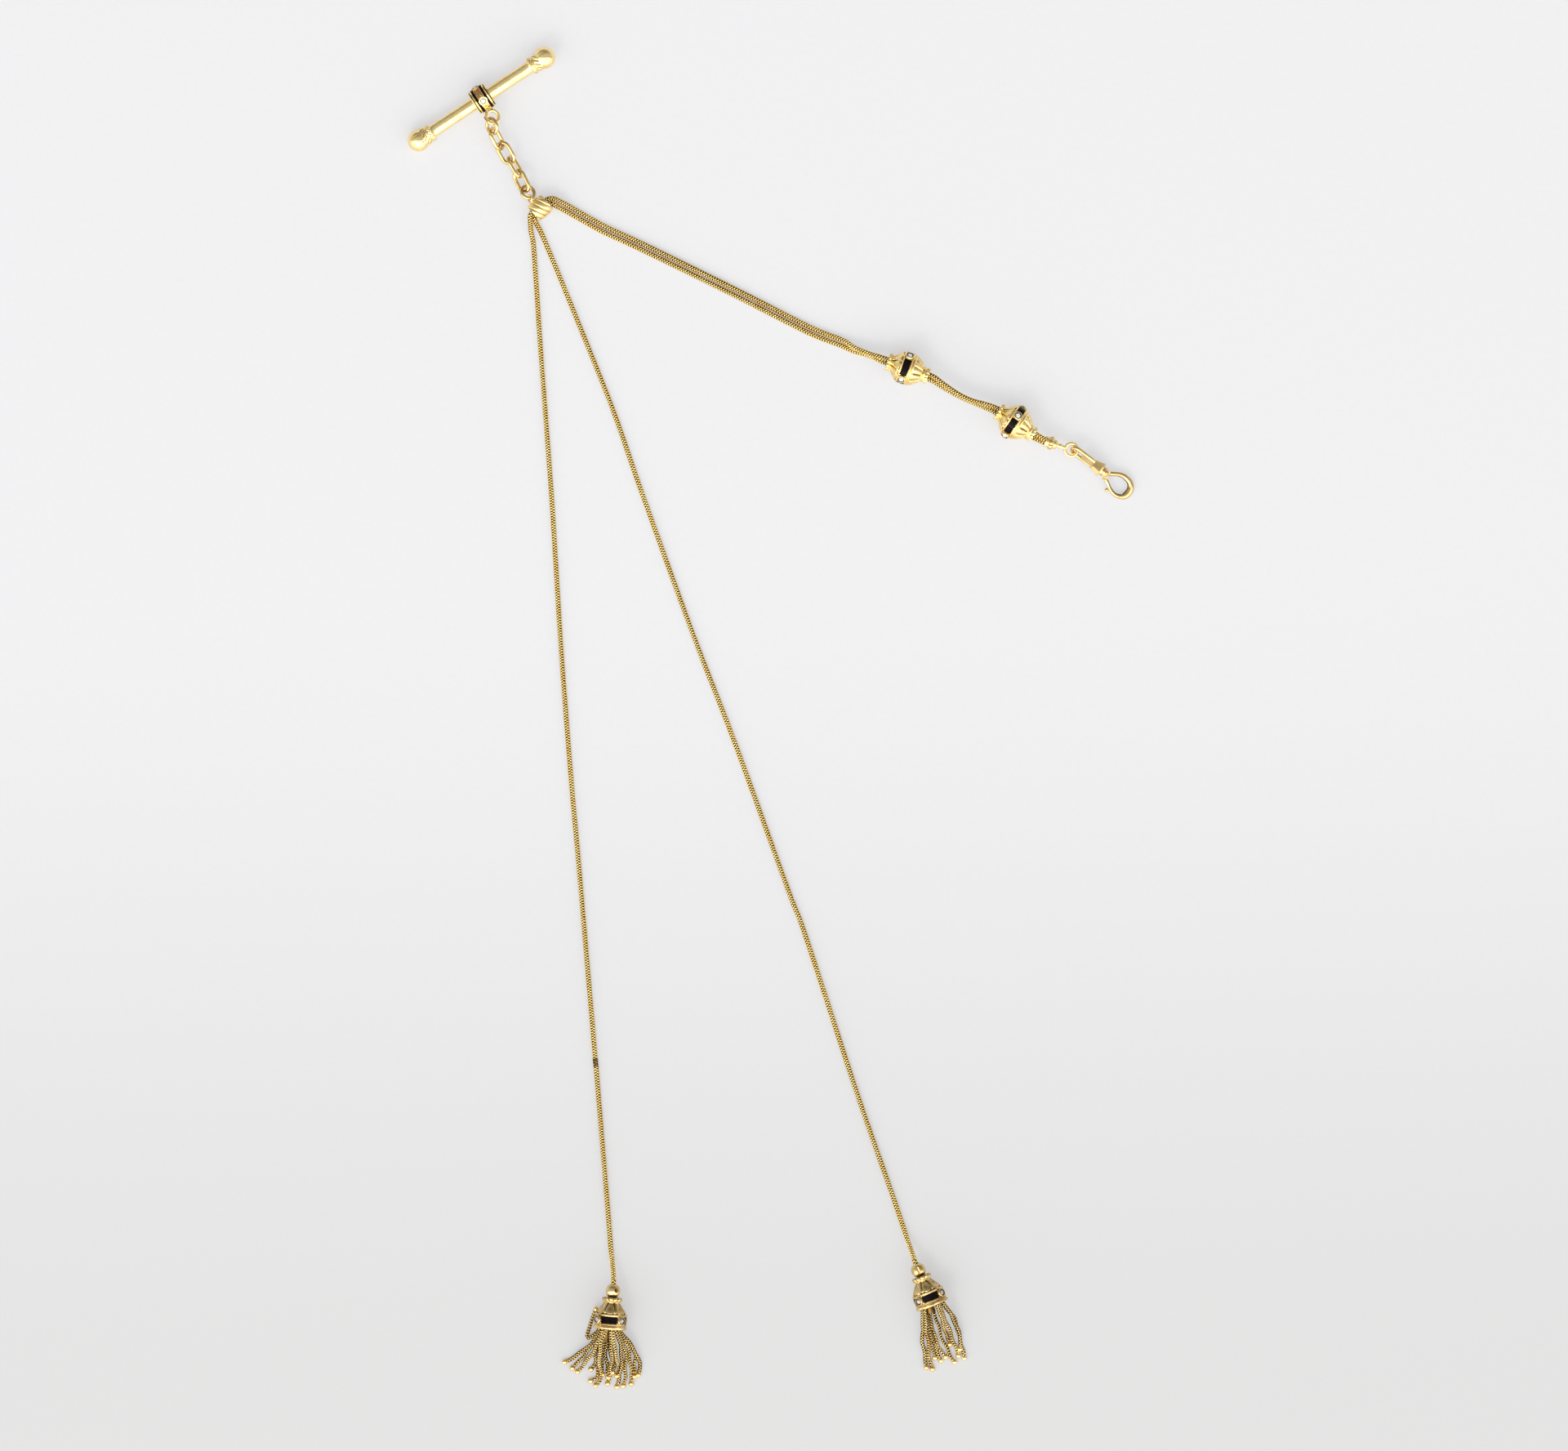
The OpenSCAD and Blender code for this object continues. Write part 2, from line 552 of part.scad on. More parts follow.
// Ferrule: a cup for the pair's end, a neck and an eye
module ferrule() {
    color(gold) at(FERRULE_PLACE, FERRULE_HEADING, FERRULE_PITCH) {
        lay_along() difference() {
            rotate_extrude() polygon([[0, 0], [1.26, 0], [1.28, 0.4], [1.12, 0.52], [1.16, 0.8],
                [1.44, 1.1], [1.56, 1.36], [1.5, 1.62], [1.2, 1.9], [1, 2.02], [1.06, 2.2],
                [1.02, 2.5], [0.76, 2.8], [0.48, 2.95], [0.46, 3.34], [0.6, 3.44], [0.64, 3.62],
                [0.58, 3.8], [0.46, 3.9], [0.44, 4.72], [0, 4.72]]);
            translate([0, 0, -0.1]) cylinder(h = 0.3, d = 1);
        }
        translate([6.2, 0, 0]) torus(1.38, 0.76);
    }
}

// Swivel: a faceted bell with a long loop, and a hook whose post turns in it
bell_bore_d = post_d + 2 * pivot_gap;
head_r = 0.76;
loop_bend_r = 1.13;
loop_back = -6.34;
loop_front = -2.68;
bell_front = 0.45;
loop_roll = 58;
web_len = 2.1;
web_thick = 0.7;

module swivel_bell() {
    color(gold) at(SWIVEL_PLACE, SWIVEL_HEADING, SWIVEL_PITCH) {
        lay_along() difference() {
            union() {
                translate([0, 0, bell_front - 2.2]) rotate([0, 0, 22.5])
                    cylinder(h = 2, r1 = 1.14, r2 = 1.62, $fn = 8);
                translate([0, 0, bell_front - 0.3]) rotate([0, 0, 22.5])
                    cylinder(h = 0.3, d = bell_d, $fn = 8);
            }
            translate([0, 0, bell_front - 1.1]) cylinder(h = 2, d = bell_bore_d);
            translate([0, 0, bell_front - 1.15]) cylinder(h = 0.55, r = head_r + pivot_gap);
        }
        rotate([loop_roll, 0, 0]) {
            translate([loop_back, 0, 0]) rotate([0, 0, 90])
                rotate_extrude(angle = 180) translate([loop_bend_r, 0]) circle(d = loop_wire);
            translate([loop_front, 0, 0]) rotate([0, 0, -90])
                rotate_extrude(angle = 180) translate([loop_bend_r, 0]) circle(d = loop_wire);
            for (s = [-1, 1]) translate([loop_back, s * loop_bend_r, 0]) rotate([0, 90, 0])
                cylinder(h = loop_front - loop_back, d = loop_wire);
            translate([loop_front - web_len, -loop_bend_r, -web_thick / 2])
                cube([web_len + loop_bend_r, 2 * loop_bend_r, web_thick]);
        }
    }
}

module flat_sweep(rows) {
    sweep([for (row = rows) [row[0], row[1], 0]], [for (row = rows) row[2]],
        [for (row = rows) min(row[2], hook_thick)], hook_sides);
}

module at_pivot() {
    translate([GATE_PIVOT[0], GATE_PIVOT[1], 0]) children();
}

module swivel_hook() {
    color(gold) at(SWIVEL_PLACE, SWIVEL_HEADING, SWIVEL_PITCH) {
        difference() {
            union() {
                flat_sweep(HOOK_LINE);
                lay_along() rotate_extrude() polygon(COLLAR_ROWS);
                translate([0, 0, -hook_thick]) linear_extrude(2 * hook_thick)
                    polygon([[1.2, 0.9], [2.3, 0.84], [2.76, 0.2], [2.5, -0.3], [1.9, -0.9], [1.2, -0.9]]);
            }
            at_pivot() translate([0, 0, -2]) cylinder(h = 4, r = knuckle_r + pivot_gap);
            intersection() {
                at_pivot() translate([0, 0, -2]) cylinder(h = 4, r = gate_swing_r + nose_gap);
                translate([NOSE_CUT[0], NOSE_CUT[1] - 8, -2]) cube([8, 8, 4]);
            }
        }
        at_pivot() translate([0, 0, -tongue_h / 2]) cylinder(h = tongue_h, r = knuckle_r);
        translate([1.2, -1.05, -tongue_h / 2]) cube([0.9, 0.9, tongue_h]);
        at_pivot() translate([0, 0, -knuckle_h / 2]) cylinder(h = knuckle_h, d = pin_d);
        lay_along() {
            translate([0, 0, bell_front - 0.9]) cylinder(h = 1.2, d = post_d);
            translate([0, 0, bell_front - 1.1]) cylinder(h = 0.45, r = head_r);
        }
    }
}

module swivel_gate() {
    color(gold) at(SWIVEL_PLACE, SWIVEL_HEADING, SWIVEL_PITCH) {
        difference() {
            union() {
                intersection() {
                    flat_sweep(GATE_LINE);
                    at_pivot() translate([0, 0, -2]) cylinder(h = 4, r = gate_swing_r);
                }
                at_pivot() translate([0, 0, -knuckle_h / 2]) cylinder(h = knuckle_h, r = knuckle_r);
                translate([KNOB[0], KNOB[1], 0]) sphere(r = 0.42);
                rod([KNOB[0], KNOB[1], 0], [4.3, -2.1, 0], 0.44);
            }
            at_pivot() translate([0, 0, -tongue_h / 2 - pivot_gap])
                cylinder(h = tongue_h + 2 * pivot_gap, r = knuckle_r + 0.1);
            at_pivot() translate([0, 0, -2]) cylinder(h = 4, d = pin_d + 2 * pivot_gap);
        }
    }
}

// Tassels: a drilled bead, a cap like half an urn, a core tube and a fringe of fine chains
cap_drum_r = cap_drum_d / 2;
cap_mid = (CAP_BAND[1] + CAP_BAND[2]) / 2;
strand_bore_d = strand_d + 0.16;
cavity_r = 3.04;
// Gap between the bead and the seat for it in the cap
bead_gap = 0.06;

module at_tassel(t) {
    at(TASSEL_PLACES[t], TASSEL_HEADINGS[t], 0) children();
}

module tassel_bead(t) {
    color(gold) at_tassel(t) lay_along() difference() {
        sphere(d = tassel_bead_d);
        translate([0, 0, -2]) cylinder(h = 4, d = strand_bore_d);
        if (t == 0) on_drum(-29, -0.2) cylinder(h = 2, d = 0.9);
        if (t == 1) translate([1.8, 0, -2]) cylinder(h = 4, d = 0.8);
    }
}

module tassel_cap(t) {
    color(gold) at_tassel(t) lay_along() rotate([0, 0, TASSEL_ROLLS[t]]) translate([0, 0, cap_start])
        difference() {
            union() {
                lobed_solid(CAP_PETALS, petal_count);
                difference() {
                    drum(cap_drum_r, CAP_BAND, 3.2, 3.55);
                    panel_recesses(cap_drum_r, cap_mid);
                }
                rotate_extrude() polygon([[0, 6], [3.5, 6], [3.5, 6.2], [cap_rim_d / 2, 6.3],
                    [cap_rim_d / 2, 6.8], [3.54, cap_len], [0, cap_len]]);
                for (q = [0 : 3]) on_drum(45 + 90 * q, cap_mid) bezel(cap_drum_r);
            }
            for (q = [0 : 3]) on_drum(45 + 90 * q, cap_mid) seat(cap_drum_r);
            translate([0, 0, -1]) cylinder(h = 4, d = strand_bore_d);
            translate([0, 0, -cap_start]) sphere(d = tassel_bead_d + 2 * bead_gap);
            rotate_extrude() polygon([[0, 1.7], [1.3, 1.7], [2.36, 3.3], [cavity_r, 4.3],
                [cavity_r, cap_len + 1], [0, cap_len + 1]]);
        }
}

module tassel_enamel(t) {
    color(black) at_tassel(t) lay_along() rotate([0, 0, TASSEL_ROLLS[t]]) translate([0, 0, cap_start])
        panels(cap_drum_r, cap_mid);
}

module tassel_stone(t, q) {
    color(diamond) at_tassel(t) lay_along() rotate([0, 0, TASSEL_ROLLS[t]]) translate([0, 0, cap_start])
        on_drum(45 + 90 * q, cap_mid) stone(cap_drum_r);
}

tube_r = 1.02;
tube_start = 4.6;

module at_tube(t) {
    at_tassel(t) rotate([0, 0, TUBE_TURNS[t]]) lay_along() children();
}

module tassel_tube(t) {
    color(dark_gold) at_tube(t) difference() {
        translate([0, 0, tube_start]) cylinder(h = TUBE_ENDS[t] - tube_start, r = tube_r);
        translate([0, 0, tube_start + 0.4]) cylinder(h = 10, r = tube_r - 0.2);
    }
}

// Where a chain leaves the cap: a point in the mouth, carried along the tassel's axis
mouth = cap_start + cap_len;
// How far the chains are drawn together in the mouth
bunch = 0.94;

function in_mouth(along, side, up) = [along, -bunch * side, TASSEL_PLACES[0][2] + bunch * up];

chain_low = fringe_d / 2 + 0.02;
ball_low = fringe_ball_d / 2 + 0.02;
ball_lead = 2;

function chain_route(row) =
    let (ball = [row[5], -row[6], ball_low],
         lead = [ball[0] - ball_lead * cos(row[7]), ball[1] + ball_lead * sin(row[7]), chain_low + 0.1])
    [for (q = smooth_route([in_mouth(mouth - 1.6, row[0], row[1]), in_mouth(mouth + 0.3, row[0], row[1]),
        [row[2], -row[3], row[4]], lead, ball], 2)) [q[0], q[1], max(q[2], chain_low)]];

curled_route = [for (row = CURLED_CHAIN) [row[0], -row[1], row[2]]];

// A fine chain with a ball soldered to its last link
module fringe_chain(route) {
    last = len(route) - 1;
    round_sweep(route, fringe_d, fringe_sides);
    hull() {
        translate(route[last]) sphere(d = fringe_ball_d, $fn = 8);
        translate(route[last] - 0.3 * (route[last] - route[last - 1])) sphere(d = fringe_d * 0.8, $fn = 6);
    }
}

module tassel_fringe(t, rows) {
    place = [TASSEL_PLACES[t][0], TASSEL_PLACES[t][1], 0];
    color(dark_gold) {
        difference() {
            at_tassel(t) lay_along() translate([0, 0, mouth - 2.4])
                cylinder(h = 1.2, r = cavity_r - 0.1, $fn = 24);
            at_tube(t) cylinder(h = 12, r = tube_r + 0.12, $fn = 24);
        }
        translate(place) rotate([0, 0, TASSEL_HEADINGS[t]]) {
            for (row = rows) fringe_chain(chain_route(row));
            if (t == 0) fringe_chain(curled_route);
        }
    }
}

t_bar();
collar();
collar_enamel(-1);  // collar_enamel_1
collar_enamel(1);  // collar_enamel_2
collar_stone(0);  // collar_stone_1
collar_stone(1);  // collar_stone_2
collar_stone(2);  // collar_stone_3
collar_stone(3);  // collar_stone_4
jump_ring(RING_TOP, ring_d);  // jump_ring_top
link(0);  // link_1
link(1);  // link_2
link(2);  // link_3
link(3);  // link_4
jump_ring(RING_BOTTOM, low_ring_d);  // jump_ring_bottom
slide_bead();
pair_strand(1);  // pair_strand_a
pair_strand(-1);  // pair_strand_b
drop_strand(1, DROP_A_ROUTE, 0);  // drop_strand_a
drop_strand(-1, DROP_B_ROUTE, 1);  // drop_strand_b
urn(0);  // urn_1
urn_enamel(0);  // urn_1_enamel
urn_stone(0, 0);  // urn_1_stone_1
urn_stone(0, 1);  // urn_1_stone_2
urn_stone(0, 2);  // urn_1_stone_3
urn_stone(0, 3);  // urn_1_stone_4
urn(1);  // urn_2
urn_enamel(1);  // urn_2_enamel
urn_stone(1, 0);  // urn_2_stone_1
urn_stone(1, 1);  // urn_2_stone_2
urn_stone(1, 2);  // urn_2_stone_3
urn_stone(1, 3);  // urn_2_stone_4
ferrule();
swivel_bell();
swivel_hook();
swivel_gate();
tassel_bead(0);  // tassel_1_bead
tassel_cap(0);  // tassel_1_cap
tassel_enamel(0);  // tassel_1_enamel
tassel_tube(0);  // tassel_1_tube
tassel_fringe(0, FRINGE_1);  // tassel_1_fringe
tassel_stone(0, 0);  // tassel_1_stone_1
tassel_stone(0, 1);  // tassel_1_stone_2
tassel_stone(0, 2);  // tassel_1_stone_3
tassel_stone(0, 3);  // tassel_1_stone_4
tassel_bead(1);  // tassel_2_bead
tassel_cap(1);  // tassel_2_cap
tassel_enamel(1);  // tassel_2_enamel
tassel_tube(1);  // tassel_2_tube
tassel_fringe(1, FRINGE_2);  // tassel_2_fringe
tassel_stone(1, 0);  // tassel_2_stone_1
tassel_stone(1, 1);  // tassel_2_stone_2
tassel_stone(1, 2);  // tassel_2_stone_3
tassel_stone(1, 3);  // tassel_2_stone_4
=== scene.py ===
# %% [markdown]
# A gold watch chain for a waistcoat lies on a pale table, seen straight from above.
# The packed solids give every size and place. This lesson lays finer meshes over the carved
# and woven pieces, gives each metal, enamel and stone its finish, and lights the table softly.

# %% Open the packed parts
import math

import bmesh
import bpy
import numpy as np
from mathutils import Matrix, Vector


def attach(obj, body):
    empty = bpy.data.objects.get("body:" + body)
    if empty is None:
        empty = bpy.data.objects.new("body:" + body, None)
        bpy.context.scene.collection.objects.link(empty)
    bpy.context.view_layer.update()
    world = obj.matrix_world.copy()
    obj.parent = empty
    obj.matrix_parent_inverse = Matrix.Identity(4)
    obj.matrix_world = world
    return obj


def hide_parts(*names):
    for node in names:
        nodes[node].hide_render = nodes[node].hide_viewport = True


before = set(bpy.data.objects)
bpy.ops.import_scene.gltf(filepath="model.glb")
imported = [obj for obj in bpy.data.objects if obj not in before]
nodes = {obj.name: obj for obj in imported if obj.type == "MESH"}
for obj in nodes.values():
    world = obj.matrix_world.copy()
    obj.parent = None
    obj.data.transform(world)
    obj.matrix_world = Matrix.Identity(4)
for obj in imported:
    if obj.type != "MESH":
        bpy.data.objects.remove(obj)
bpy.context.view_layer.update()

MM = 0.001

# %% [markdown]
# The photograph was taken from straight above, and one of its pixels covers 0.18 mm. A long lens
# far up gives the same flat view with hardly any perspective. The camera comes first, because
# every later choice of detail depends on how large a piece appears.

# %% Hang the camera over the table
# All in mm, but for the frame in pixels and the farthest thing seen in metres
PIXEL = 0.18
FRAME_WIDE = 1920
VIEW_CENTRE = (2.83, -1.66)
CAMERA_UP = 2000
SENSOR = 36
FARTHEST = 10


def hang_camera():
    data = bpy.data.cameras.new("camera_above")
    data.sensor_width = SENSOR
    data.lens = SENSOR * CAMERA_UP / (FRAME_WIDE * PIXEL)
    data.clip_end = FARTHEST
    camera = bpy.data.objects.new("camera_above", data)
    camera.location = [MM * c for c in (*VIEW_CENTRE, CAMERA_UP)]
    bpy.context.scene.collection.objects.link(camera)
    bpy.context.scene.camera = camera
    return camera


camera = hang_camera()
print("lens in mm:", round(camera.data.lens, 1))

# %% [markdown]
# A shader is a small sum. Wrapping each socket in a class lets Python's own signs write that sum:
# every + or * between values adds one Math node. The reflected signs, such as the one for
# 1 - mask, let a plain number stand on the left.

# %% Write shader sums as Python sums


class Value:
    def __init__(self, shader, socket):
        self.shader = shader
        self.socket = socket

    def sum_of(self, operation, first, second=0.0):
        return self.shader.node("Math", {"operation": operation}, {0: first, 1: second})

    def __add__(self, other):
        return self.sum_of("ADD", self, other)

    def __radd__(self, other):
        return self.sum_of("ADD", other, self)

    def __sub__(self, other):
        return self.sum_of("SUBTRACT", self, other)

    def __rsub__(self, other):
        return self.sum_of("SUBTRACT", other, self)

    def __mul__(self, other):
        return self.sum_of("MULTIPLY", self, other)

    def __rmul__(self, other):
        return self.sum_of("MULTIPLY", other, self)

    def between(self, low, high):
        """0 below low, 1 above high, and a smooth step from one to the other."""
        sockets = {"Value": self, "From Min": low, "From Max": high}
        return self.shader.node("MapRange", {"interpolation_type": "SMOOTHSTEP"}, sockets)


print("signs for values:", [word for word in vars(Value) if word.startswith("__r")])

# %% [markdown]
# Any other node comes from one method, which sets the node's settings first and then fills its
# sockets with numbers or links. The other methods are the few nodes that the finishes share:
# a mix of two colours, the place on the piece, cloudy noise, fine relief and the surface itself.

# %% Put nodes in a shader


class Shader:
    def __init__(self, owner):
        owner.use_nodes = True
        self.tree = owner.node_tree
        self.tree.nodes.clear()

    def node(self, kind, settings=None, sockets=None, out=0):
        made = self.tree.nodes.new("ShaderNode" + kind)
        for name, setting in (settings or {}).items():
            setattr(made, name, setting)
        for name, value in (sockets or {}).items():
            if isinstance(value, Value):
                self.tree.links.new(value.socket, made.inputs[name])
            else:
                made.inputs[name].default_value = value
        return Value(self, made.outputs[out]) if made.outputs else None

    def mix(self, share, first, second):
        """A colour between two others."""
        sockets = {"Factor": share, 6: first, 7: second}
        return self.node("Mix", {"data_type": "RGBA"}, sockets, out=2)

    def place(self):
        """Where a point is on its piece, in mm."""
        spot = self.node("TexCoord", out=3)
        return self.node("VectorMath", {"operation": "SCALE"}, {0: spot, "Scale": 1 / MM})

    def noise(self, place, size, detail=3.0):
        """Cloudy variation about 0.5, with spots of that size in mm."""
        return self.node("TexNoise", {}, {"Vector": place, "Scale": 1 / size, "Detail": detail})

    def bump(self, strength, depth, height):
        """Relief too small for the mesh, with its depth in mm."""
        return self.node("Bump", {}, {"Strength": strength, "Distance": depth * MM, "Height": height})

    def cover(self, sockets):
        surface = self.node("BsdfPrincipled", {}, sockets)
        self.node("OutputMaterial", {}, {"Surface": surface})


print("methods for nodes:", [word for word in vars(Shader) if not word.startswith("_")])

# %% [markdown]
# A finish starts as a material with an empty shader. Its colours are given as three numbers from
# 0 to 255, as a picture stores them. A render adds up light, so it needs a scale on which twice
# the number is twice the light, and the curve that pictures use is undone first.

# %% Start a finish and give its colours


def new_finish(name):
    material = bpy.data.materials.new(name)
    shader = Shader(material)
    return material, shader, shader.place()


def colour(red, green, blue):
    """A colour as a picture stores it, 0 to 255, turned into the linear numbers of a shader."""
    return tuple(((c / 255 + 0.055) / 1.055) ** 2.4 if c > 10 else c / 255 / 12.92
                 for c in (red, green, blue)) + (1.0,)


print("mid gold:", [round(c, 3) for c in colour(230, 190, 90)[:3]])

# %% [markdown]
# Old yellow gold is polished where fingers and cloth rub it. It keeps a brown film in each hollow,
# and fine wear gives its polish soft patches. One recipe makes every gold but the collar's: the
# colour moves between two tones, a mask named hollow brings in the brown film together with
# painted shade in hollows and between parts, and small bumps make the reflections waver as on
# cast and hand-finished metal. A table holds what differs.

# %% Mix the golds


def gold_finish(name, light, deep, film_and_shade, rough, waver, waver_size, film_and_shade_share):
    material, shader, place = new_finish(name)
    tone = shader.noise(place, 2.4).between(0.3, 0.7)
    rubs = shader.noise(place, 0.5, detail=5.0).between(0.35, 0.75)
    hollow = shader.node("Attribute", {"attribute_name": "hollow"}, out=2)
    stain = shader.noise(place, 0.9).between(0.3, 0.62)
    # Brown film and painted shade together: the mask marks hollows and other places where shade falls
    film_and_shade_mask = hollow * (0.7 + 0.3 * stain) * film_and_shade_share
    metal = shader.mix(tone, colour(*light), colour(*deep))
    base = shader.mix(film_and_shade_mask, metal, colour(*film_and_shade))
    scratch = shader.noise(place, 0.11, detail=2.0)
    swell = shader.noise(place, waver_size, detail=2.0)
    shader.cover({
        "Base Color": base, "Metallic": 1.0, "Roughness": rough + 0.12 * rubs + 0.3 * film_and_shade_mask,
        "Normal": shader.bump(waver, 0.12, swell * 0.8 + scratch * 0.2)})
    return material


BROWN_FILM_AND_SHADE = (110, 70, 24)
# Rows of the light tone, deep tone and the colour of brown film and painted shade, the roughness,
# the waver's strength and size, and the share of that film and shade
GOLDS = {
    "polished_gold": ((255, 232, 172), (252, 221, 148), (84, 50, 14), 0.22, 0.1, 1.6, 1.0),
    "faceted_bell_gold": ((230, 202, 144), (214, 180, 118), BROWN_FILM_AND_SHADE, 0.15, 0.04, 1.2, 1.0),
    "worn_hook_gold": ((226, 198, 142), (206, 172, 112), (64, 40, 14), 0.14, 0.25, 0.9, 1.0),
    "worn_link_gold": ((228, 202, 142), (204, 172, 108), BROWN_FILM_AND_SHADE, 0.13, 0.3, 0.7, 1.0),
    "carved_gold": ((252, 228, 164), (240, 208, 136), BROWN_FILM_AND_SHADE, 0.2, 0.4, 0.5, 0.95),
    "foxtail_gold": ((255, 230, 160), (250, 216, 132), (76, 44, 3), 0.17, 0.2, 0.5, 1.0),
    "antique_cap_gold": ((236, 210, 152), (196, 164, 104), (70, 46, 18), 0.2, 0.5, 0.5, 0.9),
    "antique_fringe_gold": ((250, 222, 156), (220, 186, 116), (38, 23, 5), 0.15, 0.3, 0.5, 1.0),
    # The tubes inside the fringes get a much darker, rougher gold
    "dark_rough_tube_gold": ((150, 116, 60), (112, 84, 44), (40, 26, 12), 0.42, 0.6, 0.8, 1.0),
}
golds = {name: gold_finish(name, *row) for name, row in GOLDS.items()}
print("golds:", list(golds))

# %% [markdown]
# Black enamel is glass melted into a groove and stoned flush, so it is smooth and deep, with
# faint pits. A small old-cut stone in a rubbed-over setting is grey-white: its table catches
# the light, and its edge is painted dark, as shade, where it meets the metal. Dust has dulled the
# stones of the caps.

# %% Mix the enamel and the stones


def enamel_finish():
    material, shader, place = new_finish("black_enamel_glass")
    cloud = shader.noise(place, 0.7).between(0.35, 0.7)
    pits = shader.noise(place, 0.12, detail=4.0).between(0.62, 0.8)
    shader.cover({
        "Base Color": shader.mix(cloud, colour(14, 9, 10), colour(24, 15, 14)),
        "Roughness": 0.22 + 0.2 * pits, "Normal": shader.bump(0.3, 0.03, 1 - pits),
        "Specular IOR Level": 0.04})
    return material


def stone_finish(name, light, deep):
    material, shader, place = new_finish(name)
    # The mask paints shade on the stone's edge, where it meets the metal
    edge_shade = shader.node("Attribute", {"attribute_name": "hollow"}, out=2)
    cloud = shader.noise(place, 0.35).between(0.3, 0.7)
    clear = shader.mix(cloud, light, deep)
    shader.cover({
        "Base Color": shader.mix(edge_shade * 0.95, clear, colour(40, 34, 28)),
        "Roughness": 0.06 + 0.05 * cloud, "IOR": 2.0, "Specular IOR Level": 0.4})
    return material


enamel = enamel_finish()
clear_stone = stone_finish("old_cut_stone", colour(250, 250, 252), colour(200, 202, 208))
dull_stone = stone_finish("dusty_old_cut_stone", colour(196, 190, 176), colour(128, 120, 104))
print("enamel and stones:", enamel.name, clear_stone.name, dull_stone.name)

# %% [markdown]
# Wire, tube and lathe work can all be drawn as rings of points, one behind the other. Faces with
# four corners join each ring to the next, and one face closes each end, or the skin runs back to
# its first ring, as on an eye of wire. All faces have to look outward, or a boolean would take
# the inside of a solid for its outside.

# %% Join rings with faces


def skin_faces(rows, columns, closed):
    """The faces between rings of points. A closed skin runs back to its first ring."""
    faces = []
    for i in range(rows if closed else rows - 1):
        here = i * columns
        there = (i + 1) % rows * columns
        for k in range(columns):
            n = (k + 1) % columns
            faces.append((here + k, here + n, there + n, there + k))
    if not closed:
        faces.append(tuple(range(columns))[::-1])
        faces.append(tuple((rows - 1) * columns + k for k in range(columns)))
    return faces


def mesh_object(name, points, faces):
    """An object in the scene, with all its faces turned outward."""
    mesh = bpy.data.meshes.new(name)
    mesh.from_pydata(points.tolist(), [], faces)
    form = bmesh.new()
    form.from_mesh(mesh)
    bmesh.ops.recalc_face_normals(form, faces=form.faces)
    form.to_mesh(mesh)
    form.free()
    made = bpy.data.objects.new(name, mesh)
    bpy.context.scene.collection.objects.link(made)
    return made


print("faces of a closed skin of 3 rings of 4:", len(skin_faces(3, 4, True)))

# %% [markdown]
# Each fine piece is gathered as plain arrays of points and faces, in mm. Every point also carries
# a mask, from 0 on the worn high places to 1 in the hollows and other places where shade falls,
# and the finishes paint brown film and shade from that mask. A complete piece gets its finish,
# rides on its body and takes the place of its solid.

# %% Gather a piece


class Shape:
    def __init__(self):
        self.points = []
        self.faces = []
        self.hollow = []
        self.count = 0

    def add(self, points, faces, hollow):
        points = np.asarray(points, float).reshape(-1, 3)
        self.points.append(points)
        self.faces.extend((np.asarray(face) + self.count).tolist() for face in faces)
        self.hollow.append(np.broadcast_to(np.asarray(hollow, float).ravel(), (len(points),)))
        self.count += len(points)

    def rings(self, points, hollow=0.0, closed=False):
        """Joins rings of points into a skin. The mask is one number, or one for each ring or point."""
        rows, columns = np.shape(points)[:2]
        hollow = np.asarray(hollow, float)
        if hollow.ndim == 1:
            hollow = hollow[:, None]
        self.add(points, skin_faces(rows, columns, closed), np.broadcast_to(hollow, (rows, columns)))

    def piece(self, name, material, body, slot, replaces, sharp=40, turn=np.eye(3), shift=(0, 0, 0)):
        points = (np.concatenate(self.points) @ turn.T + np.asarray(shift, float)) * MM
        made = mesh_object(name, points, self.faces)
        mask = made.data.attributes.new("hollow", "FLOAT", "POINT")
        mask.data.foreach_set("value", np.concatenate(self.hollow).astype(np.float32))
        made.data.shade_smooth()
        made.data.set_sharp_from_angle(angle=math.radians(sharp))
        made.data.materials.append(material)
        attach(made, body)
        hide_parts(*replaces)


print("kept for each piece:", list(vars(Shape())))

# %% [markdown]
# A maker draws with a compass, a square and a bent strip of wood. These few sums do the same:
# angles round a circle, directions square to a line, and a smooth line through given points.
# A step with soft edges is the fourth, because nothing on worn gold begins sharply.

# %% Set out the drawing tools


def unit(vector):
    vector = np.asarray(vector, float)
    return vector / np.linalg.norm(vector, axis=-1, keepdims=True)


def circle(count):
    """Evenly spaced angles round a circle."""
    return np.linspace(0, 2 * math.pi, count, endpoint=False)


def side_and_up(direction):
    side = unit(np.cross(direction, [0, 0, 1]))
    return side, np.cross(side, direction)


def smooth_step(value, low, high):
    t = np.clip((value - low) / (high - low), 0, 1)
    return t * t * (3 - 2 * t)


def curve_through(points, steps=12):
    """A smooth line through points, with that many steps along each stretch."""
    p = np.asarray(points, float)
    p = np.concatenate([[2 * p[0] - p[1]], p, [2 * p[-1] - p[-2]]])
    t = np.arange(steps)[:, None] / steps
    parts = []
    for a, b, c, d in zip(p, p[1:], p[2:], p[3:]):
        parts.append(b + t * (c - a) / 2 + t ** 2 * (a - 2.5 * b + 2 * c - 0.5 * d)
                     + t ** 3 * (1.5 * b - 1.5 * c + 0.5 * d - 0.5 * a))
    return np.concatenate(parts + [p[-2:-1]])


print("points along a bend:", len(curve_through([(0, 0), (1, 0), (1, 1)])))

# %% [markdown]
# A foxtail chain is made of rings squeezed long and folded in half. The next ring is threaded
# through both ends of the last one, so the ends lie in rows of small arrowheads. One folded ring,
# repeated a quarter turn on, keeps that look from every side, which a picture of a weave on
# a plain tube would lose. A dark core stands for the shadow between the wires.

# %% Fold one foxtail ring
RING_STEPS = 12
WIRE_SIDES = 5


